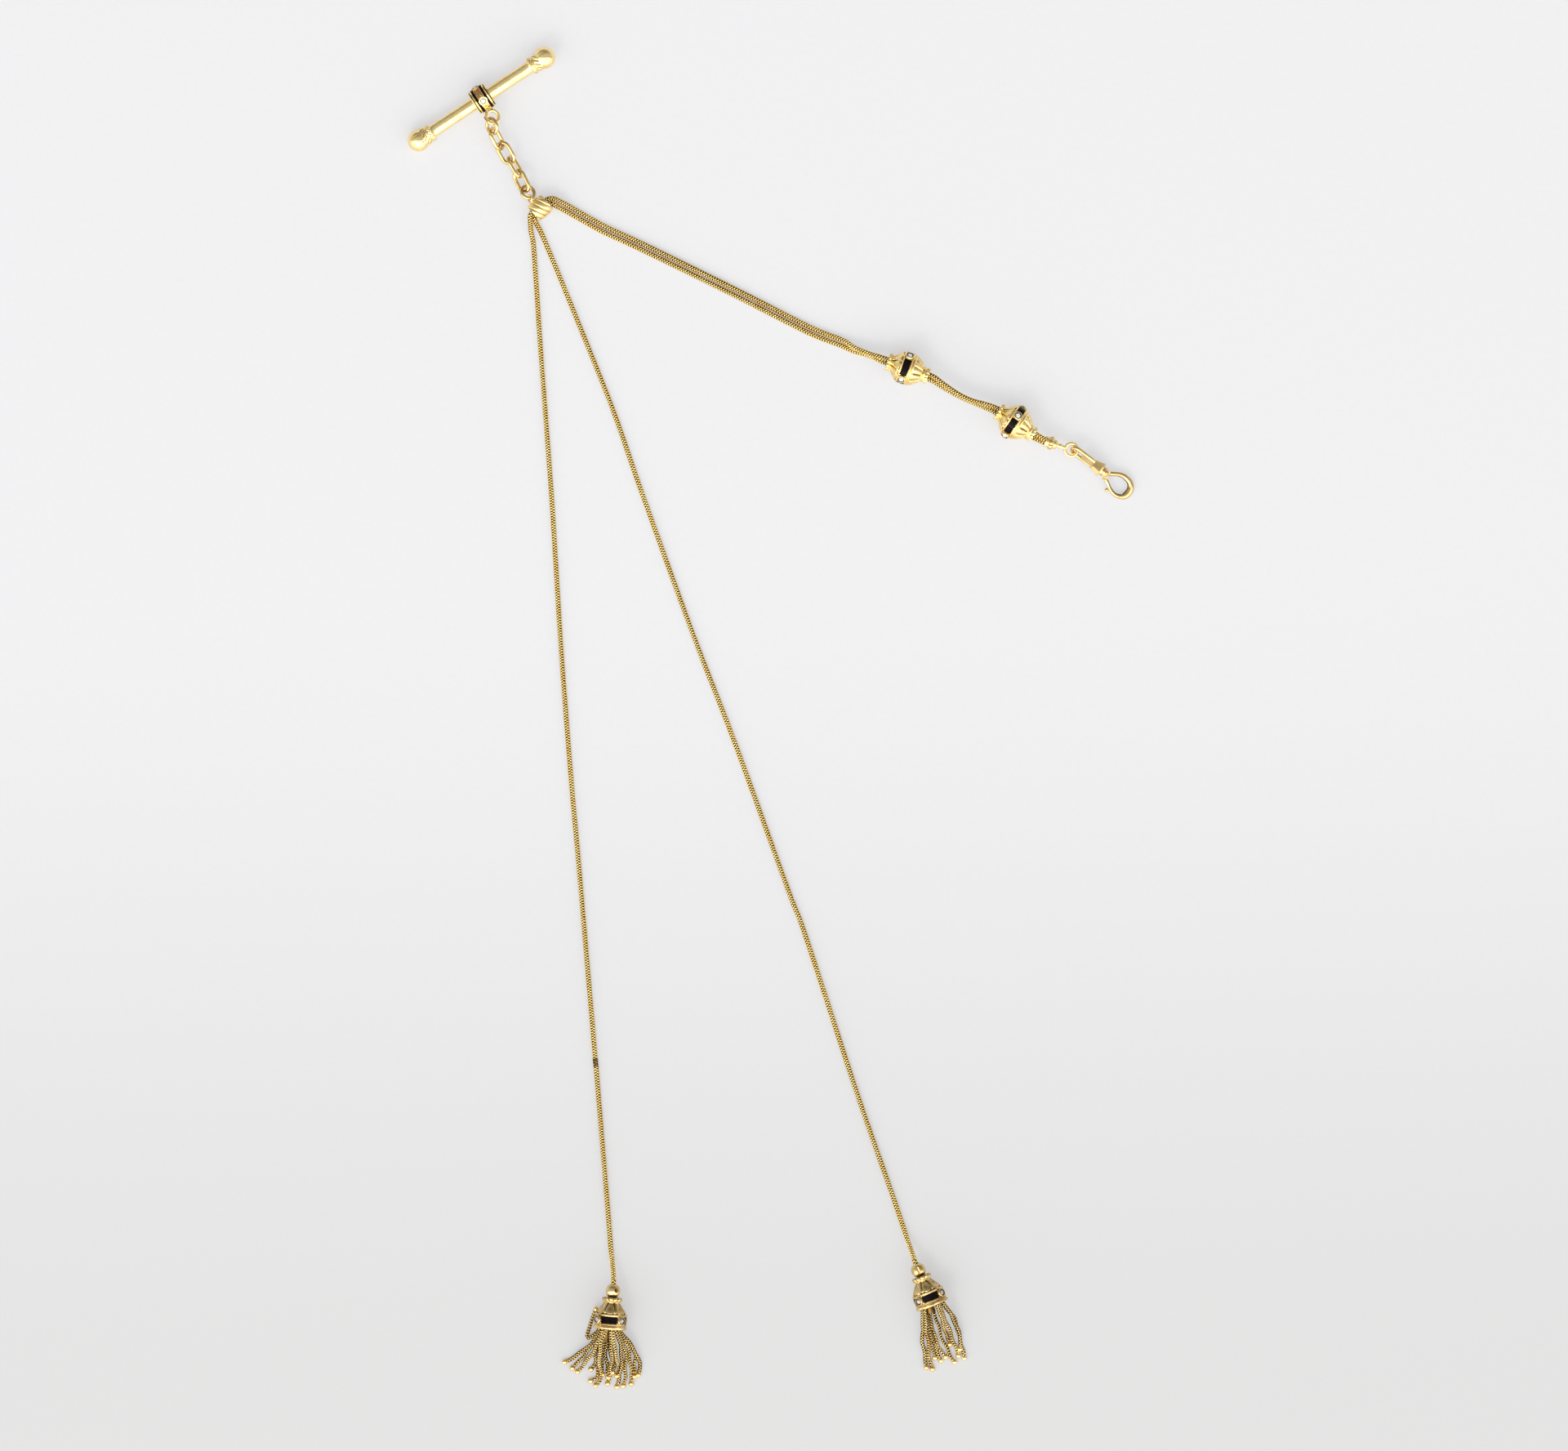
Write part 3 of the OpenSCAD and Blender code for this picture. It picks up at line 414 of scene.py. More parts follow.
def folded_ring(half_wide, wire, high):
    """One ring of wire folded to a U that opens along +x, as rings of points."""
    turn = circle(RING_STEPS) + math.pi / RING_STEPS
    reach = np.cos(turn)
    bulge = np.sin(np.minimum(np.abs(reach) * 1.7, 1) * math.pi / 2)
    side = (half_wide - wire / 2) * np.sign(reach) * bulge
    along = wire / 2 + (high - wire) * np.abs(reach) ** 1.4
    spread = half_wide * 0.62 * np.sin(turn) * (0.35 + 0.65 * np.abs(reach)) * 1.15
    middle = np.stack([along, side, spread], axis=1)
    direction = unit(np.roll(middle, -1, axis=0) - np.roll(middle, 1, axis=0))
    outward = unit(np.stack([np.zeros(RING_STEPS), side, spread + 1e-6], axis=1))
    across = unit(np.cross(direction, outward))
    up = np.cross(across, direction)
    a = circle(WIRE_SIDES)[None, :, None]
    ring = np.cos(a) * up[:, None, :] + np.sin(a) * across[:, None, :]
    return middle[:, None, :] + wire / 2 * ring


print("points in one folded ring:", folded_ring(0.6, 0.26, 0.62).shape[:2])

# %% [markdown]
# A jeweller threads ring after ring and draws the chain through a plate, so they lie at an even
# pitch. Here one array of points is copied to every stop along the line, which is far quicker
# than thousands of objects. A slow sway in the roll keeps the rows from looking machine-straight.

# %% Repeat the ring along a line
CORE_SIDES = 6
CORE_SHARE = 0.5
# How far ahead and behind a line's direction is measured
AIM = 0.2
# Degrees that the weave sways to and fro along the chain, and how slowly it does
SWAY = 14
SWAY_LONG = 9.0


def points_spaced(line, pitch):
    """Evenly spaced points along a line, with the direction at each."""
    length = np.concatenate([[0], np.cumsum(np.linalg.norm(np.diff(line, axis=0), axis=1))])
    stops = np.arange(pitch / 2, length[-1] - pitch / 2, pitch)

    def at_stops(ahead):
        return np.stack([np.interp(stops + ahead, length, line[:, k]) for k in range(3)], axis=1)

    return at_stops(0), unit(at_stops(AIM) - at_stops(-AIM)), stops


def lay_foxtail(shape, line, weave, roll, under_shade_share=0.0):
    """Repeats the folded ring along a line, each one a quarter turn on, round a dark core of painted
    shade.
    """
    thick, wire, pitch, high = weave
    left, above = side_and_up(unit(np.gradient(line, axis=0)))
    a = circle(CORE_SIDES)[None, :, None]
    spoke = np.cos(a) * left[:, None, :] + np.sin(a) * above[:, None, :]
    # The core is a dark tube, painted shade between the wires
    shape.rings(line[:, None, :] + CORE_SHARE * thick / 2 * spoke, 1.0)
    ring = folded_ring(thick / 2, wire, high)
    at, direction, stops = points_spaced(line, pitch)
    count = len(at)
    side, up = side_and_up(direction)
    angle = np.radians(roll + SWAY * np.sin(stops / SWAY_LONG) + 90 * (np.arange(count) % 2))
    c, s = np.cos(angle)[:, None], np.sin(angle)[:, None]
    first = (c * side + s * up)[:, None, :]
    second = (-s * side + c * up)[:, None, :]
    local = ring.reshape(1, -1, 3)
    points = (at[:, None, :] + (local[..., 0:1] - high / 2) * direction[:, None, :]
              + local[..., 1:2] * first + local[..., 2:3] * second)
    one = np.array(skin_faces(*ring.shape[:2], True))
    faces = (one[None] + np.arange(count)[:, None, None] * local.shape[1]).reshape(-1, 4)
    depth = np.linalg.norm(local[..., 1:], axis=2) / (thick / 2)
    # Wires near the chain's middle are painted darker, as shade between the wires
    hollow = 1 - smooth_step(depth, 0.54, 0.96)
    lift = (points[..., 2] - at[:, None, 2]) / thick
    # Painted shade on the underside of the chain, by that share
    under_shade = under_shade_share * (1 - smooth_step(lift, -0.05, 0.42))
    shape.add(points, faces, np.maximum(hollow, under_shade))
    return count


sample = np.array([[0, 0, 0], [5, 0, 0], [10, 0, 0]], float)
print("rings in 10 mm:", lay_foxtail(Shape(), sample, (1.2, 0.28, 0.29, 0.62), 0))

# %% [markdown]
# The chain has two strands. They run side by side from the ferrule by the swivel, through both
# slides, to the small ribbed bead, and then part, each to its own tassel. The tables below are
# the lines of the solid strands: the photograph shows them from end to end, so nothing is guessed
# but heights.

# %% Draw the lines of the strands
PAIR_PITCH = 1.28
SLIDE_HEADING = 41.6
# Rows of x, y, z and the turn of the pair about its own line
PAIR_ROUTE = [
    (-50.8, 112.3, 2.4, 45), (-49.1, 113.65, 2.45, 35), (-48.1, 113.8, 2.3, 25),
    (-46.8, 113.2, 1.7, 12), (-45.2, 112.4, 1, 5), (-42.9, 111.1, 0.62, 0),
    (-36.8, 107.7, 0.62, 0), (-29.4, 104.3, 0.62, 0), (-15, 97.3, 0.62, 0),
    (-4.2, 91.9, 0.62, 0), (8.4, 85.5, 0.62, 0), (15.4, 82.7, 0.8, 15), (18.2, 81.2, 1.4, 55),
    (21.5, 80, 2.5, 75), (25.4, 78.5, 3.8, 50), (34.6, 75.1, 3.8, 45), (37.6, 73.3, 3.5, 60),
    (40.8, 71.3, 3.3, 75), (43.9, 69.8, 3.4, 80), (47, 68.7, 3.9, 60), (49.8, 67.5, 4.24, 40),
    (53.8, 64.8, 4.24, 30), (57.7, 62.2, 4.22, 45), (60.05, 60.96, 3.76, 60),
]
DROP_A_ROUTE = [
    (-52.9, 110.85, 3.02), (-53, 109, 2), (-52.9, 107.1, 1), (-52.4, 104.3, 0.62), (-51.8, 96, 0.62),
    (-50.8, 81.4, 0.62), (-48.5, 50.3, 0.62), (-46.2, 14.3, 0.62), (-44, -14.5, 0.62),
    (-42.2, -34.3, 0.62), (-38.9, -73.5, 0.62), (-38.4, -79, 0.62),
    (-36, -108.1, 0.62), (-35.4, -116, 0.62), (-35.1, -119, 1), (-34.8, -121.4, 2.2),
    (-34.65, -123.4, 3.3),
]
DROP_B_ROUTE = [
    (-52.2, 110.45, 1.78), (-51.7, 108.9, 0.98), (-50, 105.4, 0.62), (-44, 90.8, 0.62),
    (-35, 68.3, 0.62), (-28.6, 49.9, 0.62), (-17, 17.9, 0.62), (-8, -5.5, 0.62),
    (3.9, -38.3, 0.62), (7.5, -47.8, 0.62), (19, -82.9, 0.62), (26.5, -104.5, 0.62),
    (28.9, -111.6, 0.62), (30, -114.9, 1), (30.8, -117.1, 2.2), (31.45, -119, 3.3),
]
TASSEL_PLACES = [(-34.8, -126.1, 3.76), (32.4, -121.5, 3.76)]
TASSEL_HEADINGS = [-94.6, -68]


def along_heading(place, heading, distance):
    a = math.radians(heading)
    return np.array(place) + distance * np.array([math.cos(a), math.sin(a), 0])


def pair_line(side):
    table = np.array(PAIR_ROUTE, float)
    spine = table[:, :3]
    flat = np.gradient(spine, axis=0)
    flat[:, 2] = 0
    flat = unit(flat)
    left = np.stack([-flat[:, 1], flat[:, 0], np.zeros(len(flat))], axis=1)
    turn = np.radians(table[:, 3:4])
    offset = np.cos(turn) * left + np.sin(turn) * np.array([[0, 0, 1.0]])
    return spine + side * PAIR_PITCH / 2 * offset


def strand_lines():
    lines = {}
    for name, side in (("pair_strand_a", 1), ("pair_strand_b", -1)):
        line = pair_line(side)
        lines[name] = np.concatenate([line, [line[-1] + 0.5 * unit(line[-1] - line[-2])]])
    drops = [("drop_strand_a", 1, DROP_A_ROUTE), ("drop_strand_b", -1, DROP_B_ROUTE)]
    for t, (name, side, route) in enumerate(drops):
        start = along_heading(pair_line(side)[0], SLIDE_HEADING, -0.3)
        ends = [along_heading(TASSEL_PLACES[t], TASSEL_HEADINGS[t], d) for d in (-1.7, 4.2)]
        lines[name] = np.array([start, *route, *ends])
    return lines


print("points given for each line:", {name: len(line) for name, line in strand_lines().items()})

# %% [markdown]
# Each line carries its own run of folded rings. One strand also has a dark spot two millimetres
# long, which looks like an old repair with solder in the weave. It changes the colour far more
# than the shape, so here it is a stretch of the mask.

# %% Lay the four strand lengths
# Thickness, wire, pitch and height of one ring
STRAND_WEAVE = (1.18, 0.28, 0.29, 0.62)
STRAND_ROLL = 40
REPAIR_AT = -76.0
REPAIR_LONG = 2.0
REPAIR_DULL = 0.85


def darken_repair(shape):
    for k, points in enumerate(shape.points):
        dull = REPAIR_DULL * (np.abs(points[:, 1] - REPAIR_AT) < REPAIR_LONG / 2)
        shape.hollow[k] = np.maximum(shape.hollow[k], dull)


for name, line in strand_lines().items():
    strand = Shape()
    links = lay_foxtail(strand, curve_through(line), STRAND_WEAVE, STRAND_ROLL)
    if name == "drop_strand_a":
        darken_repair(strand)
    strand.piece("foxtail_" + name, golds["foxtail_gold"], "chain", "yellow_gold", [name], sharp=180)
    print(name, "rings:", links)

# %% [markdown]
# The T-bar, slides and caps were raised and chased from thin gold. A lathe outline gives each its
# body, and the petals, tongues and beads are added as height over that outline. The same height
# tells the finish where the brown film and painted shade lie. One grid of rings round the axis holds
# both.

# %% Turn and chase a lathe outline


def chased(shape, along, radius, columns, relief, inside=(), low_side=-0.16, high_side=0.0,
           extra_turns=()):
    """A skin round the z axis from radius and relief, closed by rows of distance and radius that are
    painted dark, as shade.
    """
    turn = np.linspace(0, 360, columns, endpoint=False)
    turn = np.unique(np.round(np.concatenate([turn, np.asarray(extra_turns, float) % 360]), 3))
    flat = np.zeros(len(turn))
    height = relief(turn[None, :], along[:, None]) + flat
    z, r = along[:, None] + flat, radius[:, None] + height
    # Low relief takes the mask for brown film and painted shade
    hollow = 1 - smooth_step(height, low_side, high_side)
    for distance, width in inside:
        # Rows inside, such as a bore, are painted dark, as shade
        z, r = np.vstack([z, distance + flat]), np.vstack([r, width + flat])
        hollow = np.vstack([hollow, 1 + flat])
    a = np.radians(turn)
    shape.rings(np.stack([r * np.cos(a), r * np.sin(a), z], axis=2), hollow, closed=len(inside) > 0)


def bore_through(along, r):
    return [(along[-1], r), (along[0], r)]


def in_lobe(turn, count):
    """Where a turn lies in one of several equal lobes, from -1 to 1."""
    return (turn / 360 * count + 0.5) % 1 * 2 - 1


def steps_between(stops, spacing):
    """Distances that keep every stop and fill between them."""
    parts = [np.linspace(a, b, max(2, int(math.ceil((b - a) / spacing)) + 1))[:-1]
             for a, b in zip(stops, stops[1:])]
    return np.concatenate(parts + [[stops[-1]]])


print("lobe check:", in_lobe(np.array([0.0, 22.5, 45.0]), 8).round(2).tolist())

# %% [markdown]
# A piece comes off the lathe with its axis along z. LAID puts that axis along x with the piece's
# own x up, as a bar lies on a table, and a heading and a pitch then turn it to its angle in the
# photograph. A hump and a plateau, both with soft edges, are the outlines of most relief.

# %% Lay turned work down
LAID = np.array([[0, 0, 1], [0, -1, 0], [1, 0, 0]], float)


def turn_about(axis, degrees):
    """The matrix that turns points about the x, y or z axis."""
    c, s = math.cos(math.radians(degrees)), math.sin(math.radians(degrees))
    i, j = {"x": (1, 2), "y": (2, 0), "z": (0, 1)}[axis]
    matrix = np.eye(3)
    matrix[i, i] = matrix[j, j] = c
    matrix[i, j], matrix[j, i] = -s, s
    return matrix


def heading_and_pitch(heading, pitch=0.0):
    return turn_about("z", heading) @ turn_about("y", -pitch)


def plateau(value, start, full, fade, end):
    """0 outside start and end, and 1 from full to fade."""
    return smooth_step(value, start, full) * (1 - smooth_step(value, fade, end))


def hump(value, centre, width):
    return np.exp(-((value - centre) / width) ** 2)


print("a quarter turn about z:", turn_about("z", 90).round().tolist())

# %% [markdown]
# The bar is a polished tube. At each end a chased neck of slanting leaves and a ring join it to a
# hollow ball, which keeps the creases of its raising and has a small plugged vent at its pole.
# The leaves are shallow, so they are cut less than two tenths of a millimetre into the neck.

# %% Turn the T-bar
BAR_PLACE = (-63.6, 136.3, 3.17)
BAR_HEADING = 33.2
BAR_PITCH = 2.4
BAR_OFFSET = -0.2
BAR_LEN = 38.0
BALL_R = 2.45
TUBE_R = 1.45
BAR_COLUMNS = 128
LEAVES = 11
LEAF_DEEP = 0.18
VEINS = 18
VEIN_DEEP = 0.14
CREASES = 8
CREASE_DEEP = 0.09
# Rows of distance from the pole and radius, past the ball
NECK_ROWS = [
    (3.72, 2.14), (4, 2.1), (4.5, 2), (4.84, 1.94), (4.92, 1.8), (4.96, 1.64), (5.08, 1.64),
    (5.14, 1.84), (5.28, 1.99), (5.84, 1.99), (6, 1.86), (6.08, 1.6), (6.2, 1.52),
]


def bar_shape():
    shape = Shape()
    polar = np.radians(np.linspace(12.4, 119.5, 40))
    ball = np.stack([BALL_R * (1 - np.cos(polar)), BALL_R * np.sin(polar)], axis=1)
    neck = np.array(NECK_ROWS)
    fine = steps_between(neck[:, 0], 0.09)
    neck = np.stack([fine, np.interp(fine, neck[:, 0], neck[:, 1])], axis=1)
    vent = np.array([[0.17, 0.0001], [0.17, 0.5]])
    end = np.concatenate([vent, ball, neck])
    middle = np.linspace(6.4, BAR_LEN - 6.4, 40)
    along = np.concatenate([end[:, 0], middle, BAR_LEN - end[::-1, 0]])
    radius = np.concatenate([end[:, 1], np.full(len(middle), TUBE_R), end[::-1, 1]])

    def leaves(turn, z):
        from_end = np.minimum(z, BAR_LEN - z)
        leaf = np.abs(in_lobe(turn + 30 * from_end, LEAVES))
        vein = np.abs(in_lobe(turn - 40 * from_end, VEINS))
        crease = hump(np.abs(in_lobe(turn, CREASES)), 1, 0.14)
        wide_band = plateau(from_end, 3.7, 3.9, 4.66, 4.86)
        ring_band = plateau(from_end, 5.14, 5.26, 5.82, 5.96)
        ball_band = plateau(from_end, 1.3, 2.4, 3.6, 3.7)
        return (-LEAF_DEEP * wide_band * leaf ** 2 - VEIN_DEEP * ring_band * vein ** 2
                - CREASE_DEEP * ball_band * crease)

    chased(shape, along, radius, BAR_COLUMNS, leaves, low_side=-0.2, high_side=-0.02)
    return shape


bar = bar_shape()
bar_turn = heading_and_pitch(BAR_HEADING, BAR_PITCH)
bar_end = np.array(BAR_PLACE) + bar_turn @ np.array([BAR_OFFSET - BAR_LEN / 2, 0, 0])
bar.piece("chased_t_bar", golds["polished_gold"], "chain", "yellow_gold", ["t_bar"], sharp=50,
          turn=bar_turn @ LAID, shift=bar_end)
print("bar points:", bar.count)

# %% [markdown]
# Each slide is an urn, with leaf-shaped petals below a lobed crown at one end, and each tassel cap
# repeats them. A petal is a broad leaf with a dished middle and a raised lip, and a bead fills
# the gap between two tips. The real ones were punched up from behind, which moves the gold in
# and out but cuts nothing away, so here they are heights over one outline.

# %% Chase the petals and the crown
PETALS = 8
CROWN_KNOBS = 12
CROWN_DEEP = 0.2
# Heights over the ground between the petals
LEAF_HIGH = 0.24
DISH_DEEP = 0.1
LIP_HIGH = 0.06
BEAD_HIGH = 0.26


def petal_relief(turn, share):
    """Height of one petal: a broad leaf with an oval dish in it, and a bead between petals."""
    lean = np.abs(in_lobe(turn, PETALS))
    tip = np.sqrt(np.clip(1 - smooth_step(share, 0.78, 1.03), 0, 1))
    wide = (0.56 + 0.28 * smooth_step(share, 0.0, 0.6)) * tip
    leaf = 1 - smooth_step(lean, wide, wide + 0.14)
    from_dish = np.sqrt((lean / 0.5) ** 2 + ((share - 0.52) / 0.3) ** 2)
    dish = 1 - smooth_step(from_dish, 0.45, 1.0)
    lip = hump(from_dish, 1.15, 0.22)
    bead = hump(lean, 1, 0.2) * hump(share, 0.86, 0.12)
    return LEAF_HIGH * leaf - DISH_DEEP * dish + LIP_HIGH * lip * leaf + BEAD_HIGH * bead - LEAF_HIGH


def crown_relief(turn, count, deep):
    """Height of the knobs round a flared crown."""
    lean = np.abs(in_lobe(turn, count))
    return -deep * lean ** 2.2


def crown_and_petals(rows, start, end):
    """Distances and radii of a crown with petals, and the height over them."""
    table = np.array(rows, float)
    along = steps_between(table[:, 0], 0.075)
    line = curve_through(table[:, :2])
    radius = np.interp(along, line[:, 0], line[:, 1])

    def relief(turn, z):
        share = (z - start) / (end - start)
        before = 1 - smooth_step(z, start - 0.35, start - 0.1)
        crown = crown_relief(turn, CROWN_KNOBS, CROWN_DEEP) * before
        petals = petal_relief(turn, share) * smooth_step(z, start - 0.1, start + 0.15)
        return crown + petals * (1 - smooth_step(z, end + 0.02, end + 0.1))

    return along, radius, relief


print("petal height at its middle:", round(float(petal_relief(0, 0.5)), 2))

# %% [markdown]
# The drum is the widest part, between two ridges. Four black panels lie in it, with a cup for
# a stone between one panel and the next. The panels are solids of their own, so the gold has to
# leave them room: a recess that ends exactly where its panel does, with grid lines on its edges.

# %% Sink the recesses for the panels
STONES = 4
PANEL_TURN = 61
PANEL_WIDE = 1.6
PANEL_DEEP = 0.28
PANEL_EDGE = 0.4


def panel_relief(turn, z, mid):
    """The recesses that the enamel panels lie in."""
    lean = np.abs(in_lobe(turn, STONES)) * 180 / STONES
    inside = (lean < PANEL_TURN / 2 + 0.01) & (np.abs(z - mid) < PANEL_WIDE / 2 + 0.001)
    return -PANEL_DEEP * inside


def panel_turns():
    edges = []
    for q in range(STONES):
        for side in (-1, 1):
            edges += [90 * q + side * PANEL_TURN / 2, 90 * q + side * (PANEL_TURN / 2 + PANEL_EDGE)]
    return edges


print("first panel edges in degrees:", panel_turns()[:4])

# %% [markdown]
# Each cup is a short tube of sheet, soldered on and rubbed over the stone's edge. The stones are
# pieces of their own too, so each cup has a flat seat for one, a little wider than the stone.

# %% Raise the drum and its cups
DRUM_COLUMNS = 192
RIDGE = 0.16
STONE_R = 0.67
SEAT_DEPTH = 0.38
BEZEL_R = 0.96
BEZEL_RISE = 0.55
FIRST_BEZEL = 45


def drum_rows(band, drum_r):
    """Distances and radii of a drum between its two ridges."""
    mid, half = (band[1] + band[2]) / 2, PANEL_WIDE / 2
    along = np.array([
        band[0], band[0] + 0.1, (band[0] + band[1]) / 2, band[1] - 0.06, band[1],
        mid - half - 0.02, mid - half, mid - half / 2, mid, mid + half / 2, mid + half,
        mid + half + 0.02, band[2], band[2] + 0.06, (band[2] + band[3]) / 2, band[3] - 0.1, band[3]])
    radius = np.full(len(along), drum_r)
    ridge = drum_r + RIDGE
    for k, r in enumerate([drum_r - 0.14, ridge - 0.03, ridge, ridge - 0.04]):
        radius[k] = radius[-1 - k] = r
    return along, radius


def turned(rows, sides=32):
    """Rings about the x axis, from rows of distance and radius."""
    return np.array([[(x, r * math.cos(k), r * math.sin(k)) for k in circle(sides)] for x, r in rows])


def add_bezels(shape, drum_r, along):
    """Four cups for stones, built out from the drum's side."""
    top = drum_r + BEZEL_RISE
    seat = STONE_R + 0.04
    rows = [(drum_r - 0.5, 0.05), (drum_r - 0.5, BEZEL_R - 0.1), (drum_r - 0.05, BEZEL_R),
            (top - 0.16, BEZEL_R), (top - 0.05, BEZEL_R - 0.06), (top, BEZEL_R - 0.15),
            (top - 0.04, seat + 0.02), (top - 0.1, seat), (top - SEAT_DEPTH, seat),
            (top - SEAT_DEPTH, 0.05)]
    for q in range(STONES):
        outward = turn_about("z", FIRST_BEZEL + 90 * q)
        cup = turned(rows, 28) @ outward.T + np.array([0, 0, along])
        # The cup's foot and its seat are painted dark, as shade round the stone
        shape.rings(cup, [0, 0.8, 0.8, 0.1, 0, 0.1, 1, 1, 1, 1])


print("rings of a drum 2 mm wide:", len(drum_rows((0, 0.3, 2.3, 2.6), 3.5)[0]))

# %% [markdown]
# Rounded tongues close the urn's other end, above a small turned neck. The whole urn is one skin,
# from the crown to the neck and back through the bore, because the real one is one shell of
# thin gold with the pair of strands inside.

# %% Chase the two urns
TONGUES = 12
TONGUE_HIGH = 0.36
TIP_HIGH = 0.16
NECK_DEEP = 0.16
# Rows of distance and radius
PETAL_ROWS = [
    (0, 1.92), (0.3, 2.12), (0.65, 1.98), (0.95, 1.66), (1.3, 1.84), (1.8, 2.36), (2.3, 2.9),
    (2.75, 3.24), (3.05, 3.36),
]
TONGUE_ROWS = [
    (5.42, 3.52), (5.52, 3.42), (5.64, 3.56), (5.8, 3.56), (5.95, 3.4), (6.5, 3.16), (7.1, 2.72),
    (7.6, 2.32), (8, 1.9), (8.2, 1.64), (8.45, 1.8), (8.7, 1.64), (9.1, 1.84), (9.3, 1.8), (9.54, 1.72),
]
# Where the drum's first ridge, its wall and its second ridge begin, and where that one ends
URN_BAND = (3.05, 3.37, 5.05, 5.42)
URN_MID = (URN_BAND[1] + URN_BAND[2]) / 2
URN_DRUM_R = 3.62
URN_BORE_R = 1.38
URN_PLACES = [(25.6, 78.46, 3.8), (49.9, 67.5, 4.24)]
URN_HEADINGS = [-20.3, -34.1]
URN_ROLLS = [0, 23]
# For each drum made: its owner, radius, distance along, first cup's turn, turn and place
drums = []


def urn_shape():
    shape = Shape()
    p_along, p_radius, p_relief = crown_and_petals(PETAL_ROWS, 1.0, 3.0)
    d_along, d_radius = drum_rows(URN_BAND, URN_DRUM_R)
    t_along = steps_between(np.array(TONGUE_ROWS)[:, 0], 0.085)[1:]
    line = curve_through(TONGUE_ROWS)
    t_radius = np.interp(t_along, line[:, 0], line[:, 1])

    def relief(turn, z):
        lean = np.abs(in_lobe(turn, TONGUES))
        share = (z - 5.85) / 2.15
        tongue = np.sqrt(np.clip(1 - (1.14 * lean) ** 2, 0, 1)) * TONGUE_HIGH - TONGUE_HIGH
        tip = hump(lean, 1, 0.25) * (1 - smooth_step(share, 0.1, 0.4)) * TIP_HIGH
        on_tongue = plateau(share, 0, 0.1, 0.9, 1.02) * (z > 5.43)
        end = crown_relief(turn, TONGUES, NECK_DEEP) * smooth_step(z, 8.75, 8.95)
        petals = p_relief(turn, z) * (z < 3.04)
        on_drum = panel_relief(turn, z, URN_MID) * (z > 3.2) * (z < 5.3)
        return petals + on_drum + (tongue + tip) * on_tongue + end

    along = np.concatenate([p_along[:-1], d_along, t_along])
    radius = np.concatenate([p_radius[:-1], d_radius, t_radius])
    chased(shape, along, radius, DRUM_COLUMNS, relief, bore_through(along, URN_BORE_R),
           low_side=-0.26, high_side=-0.1, extra_turns=panel_turns())
    add_bezels(shape, URN_DRUM_R, URN_MID)
    return shape


for u, place in enumerate(URN_PLACES):
    urn = urn_shape()
    turn = heading_and_pitch(URN_HEADINGS[u]) @ LAID @ turn_about("z", URN_ROLLS[u])
    urn.piece(f"chased_urn_{u + 1}", golds["carved_gold"], "chain", "yellow_gold", [f"urn_{u + 1}"],
              sharp=60, turn=turn, shift=place)
    drums.append((f"urn_{u + 1}", URN_DRUM_R, URN_MID, FIRST_BEZEL, turn, place))
    print("urn", u + 1, "points:", urn.count)

# %% [markdown]
# A cap is half an urn: crown, petals and drum, then a plain rounded rim that wear has dented a
# little. It is open below, where the fringe comes out, so its inside has to be modelled too, and it
# is painted dark, as shade.

# %% Chase the tassel caps
CAP_START = 1.4
CAP_LEN = 6.95
CAP_BAND = (3.6, 4, 5.78, 6.1)
CAP_MID = (CAP_BAND[1] + CAP_BAND[2]) / 2
CAP_DRUM_R = 3.5
TASSEL_ROLLS = [5, -5]
# Rows of distance and radius
CAP_ROWS = [
    (0, 2), (0.3, 2.26), (0.7, 2.12), (1.1, 1.8), (1.5, 1.98), (2.1, 2.44), (2.7, 2.86), (3.2, 3.14),
    (3.6, 3.24),
]
RIM_ROWS = [
    (6.12, 3.46), (6.2, 3.48), (6.3, 3.64), (6.45, 3.7), (6.7, 3.69), (6.85, 3.62), (CAP_LEN, 3.5),
]
CAP_INSIDE = [
    (CAP_LEN, 3.1), (6.7, 3.04), (4.3, 3.04), (3.3, 2.36), (1.7, 1.3), (1.7, 0.68), (0.14, 0.68),
    (0, 0.93),
]


def cap_shape():
    shape = Shape()
    p_along, p_radius, p_relief = crown_and_petals(CAP_ROWS, 1.1, 3.56)
    d_along, d_radius = drum_rows(CAP_BAND, CAP_DRUM_R)
    rim = np.array(RIM_ROWS)

    def relief(turn, z):
        dents = 0.05 * np.sin(np.radians(turn * 5 + 40)) + 0.04 * np.sin(np.radians(turn * 13))
        petals = p_relief(turn, z) * (z < 3.59)
        return petals + panel_relief(turn, z, CAP_MID) + dents * smooth_step(z, 6.25, 6.5)

    along = np.concatenate([p_along[:-1], d_along, rim[:, 0]])
    radius = np.concatenate([p_radius[:-1], d_radius, rim[:, 1]])
    chased(shape, along, radius, DRUM_COLUMNS, relief, CAP_INSIDE,
           low_side=-0.22, high_side=-0.04, extra_turns=panel_turns())
    add_bezels(shape, CAP_DRUM_R, CAP_MID)
    return shape


for t in range(2):
    cap = cap_shape()
    turn = heading_and_pitch(TASSEL_HEADINGS[t]) @ LAID @ turn_about("z", TASSEL_ROLLS[t])
    place = along_heading(TASSEL_PLACES[t], TASSEL_HEADINGS[t], CAP_START)
    cap.piece(f"chased_cap_{t + 1}", golds["antique_cap_gold"], "chain", "antique_gold",
              [f"tassel_{t + 1}_cap"], sharp=60, turn=turn, shift=place)
    drums.append((f"tassel_{t + 1}", CAP_DRUM_R, CAP_MID, FIRST_BEZEL, turn, place))
    print("cap", t + 1, "points:", cap.count)

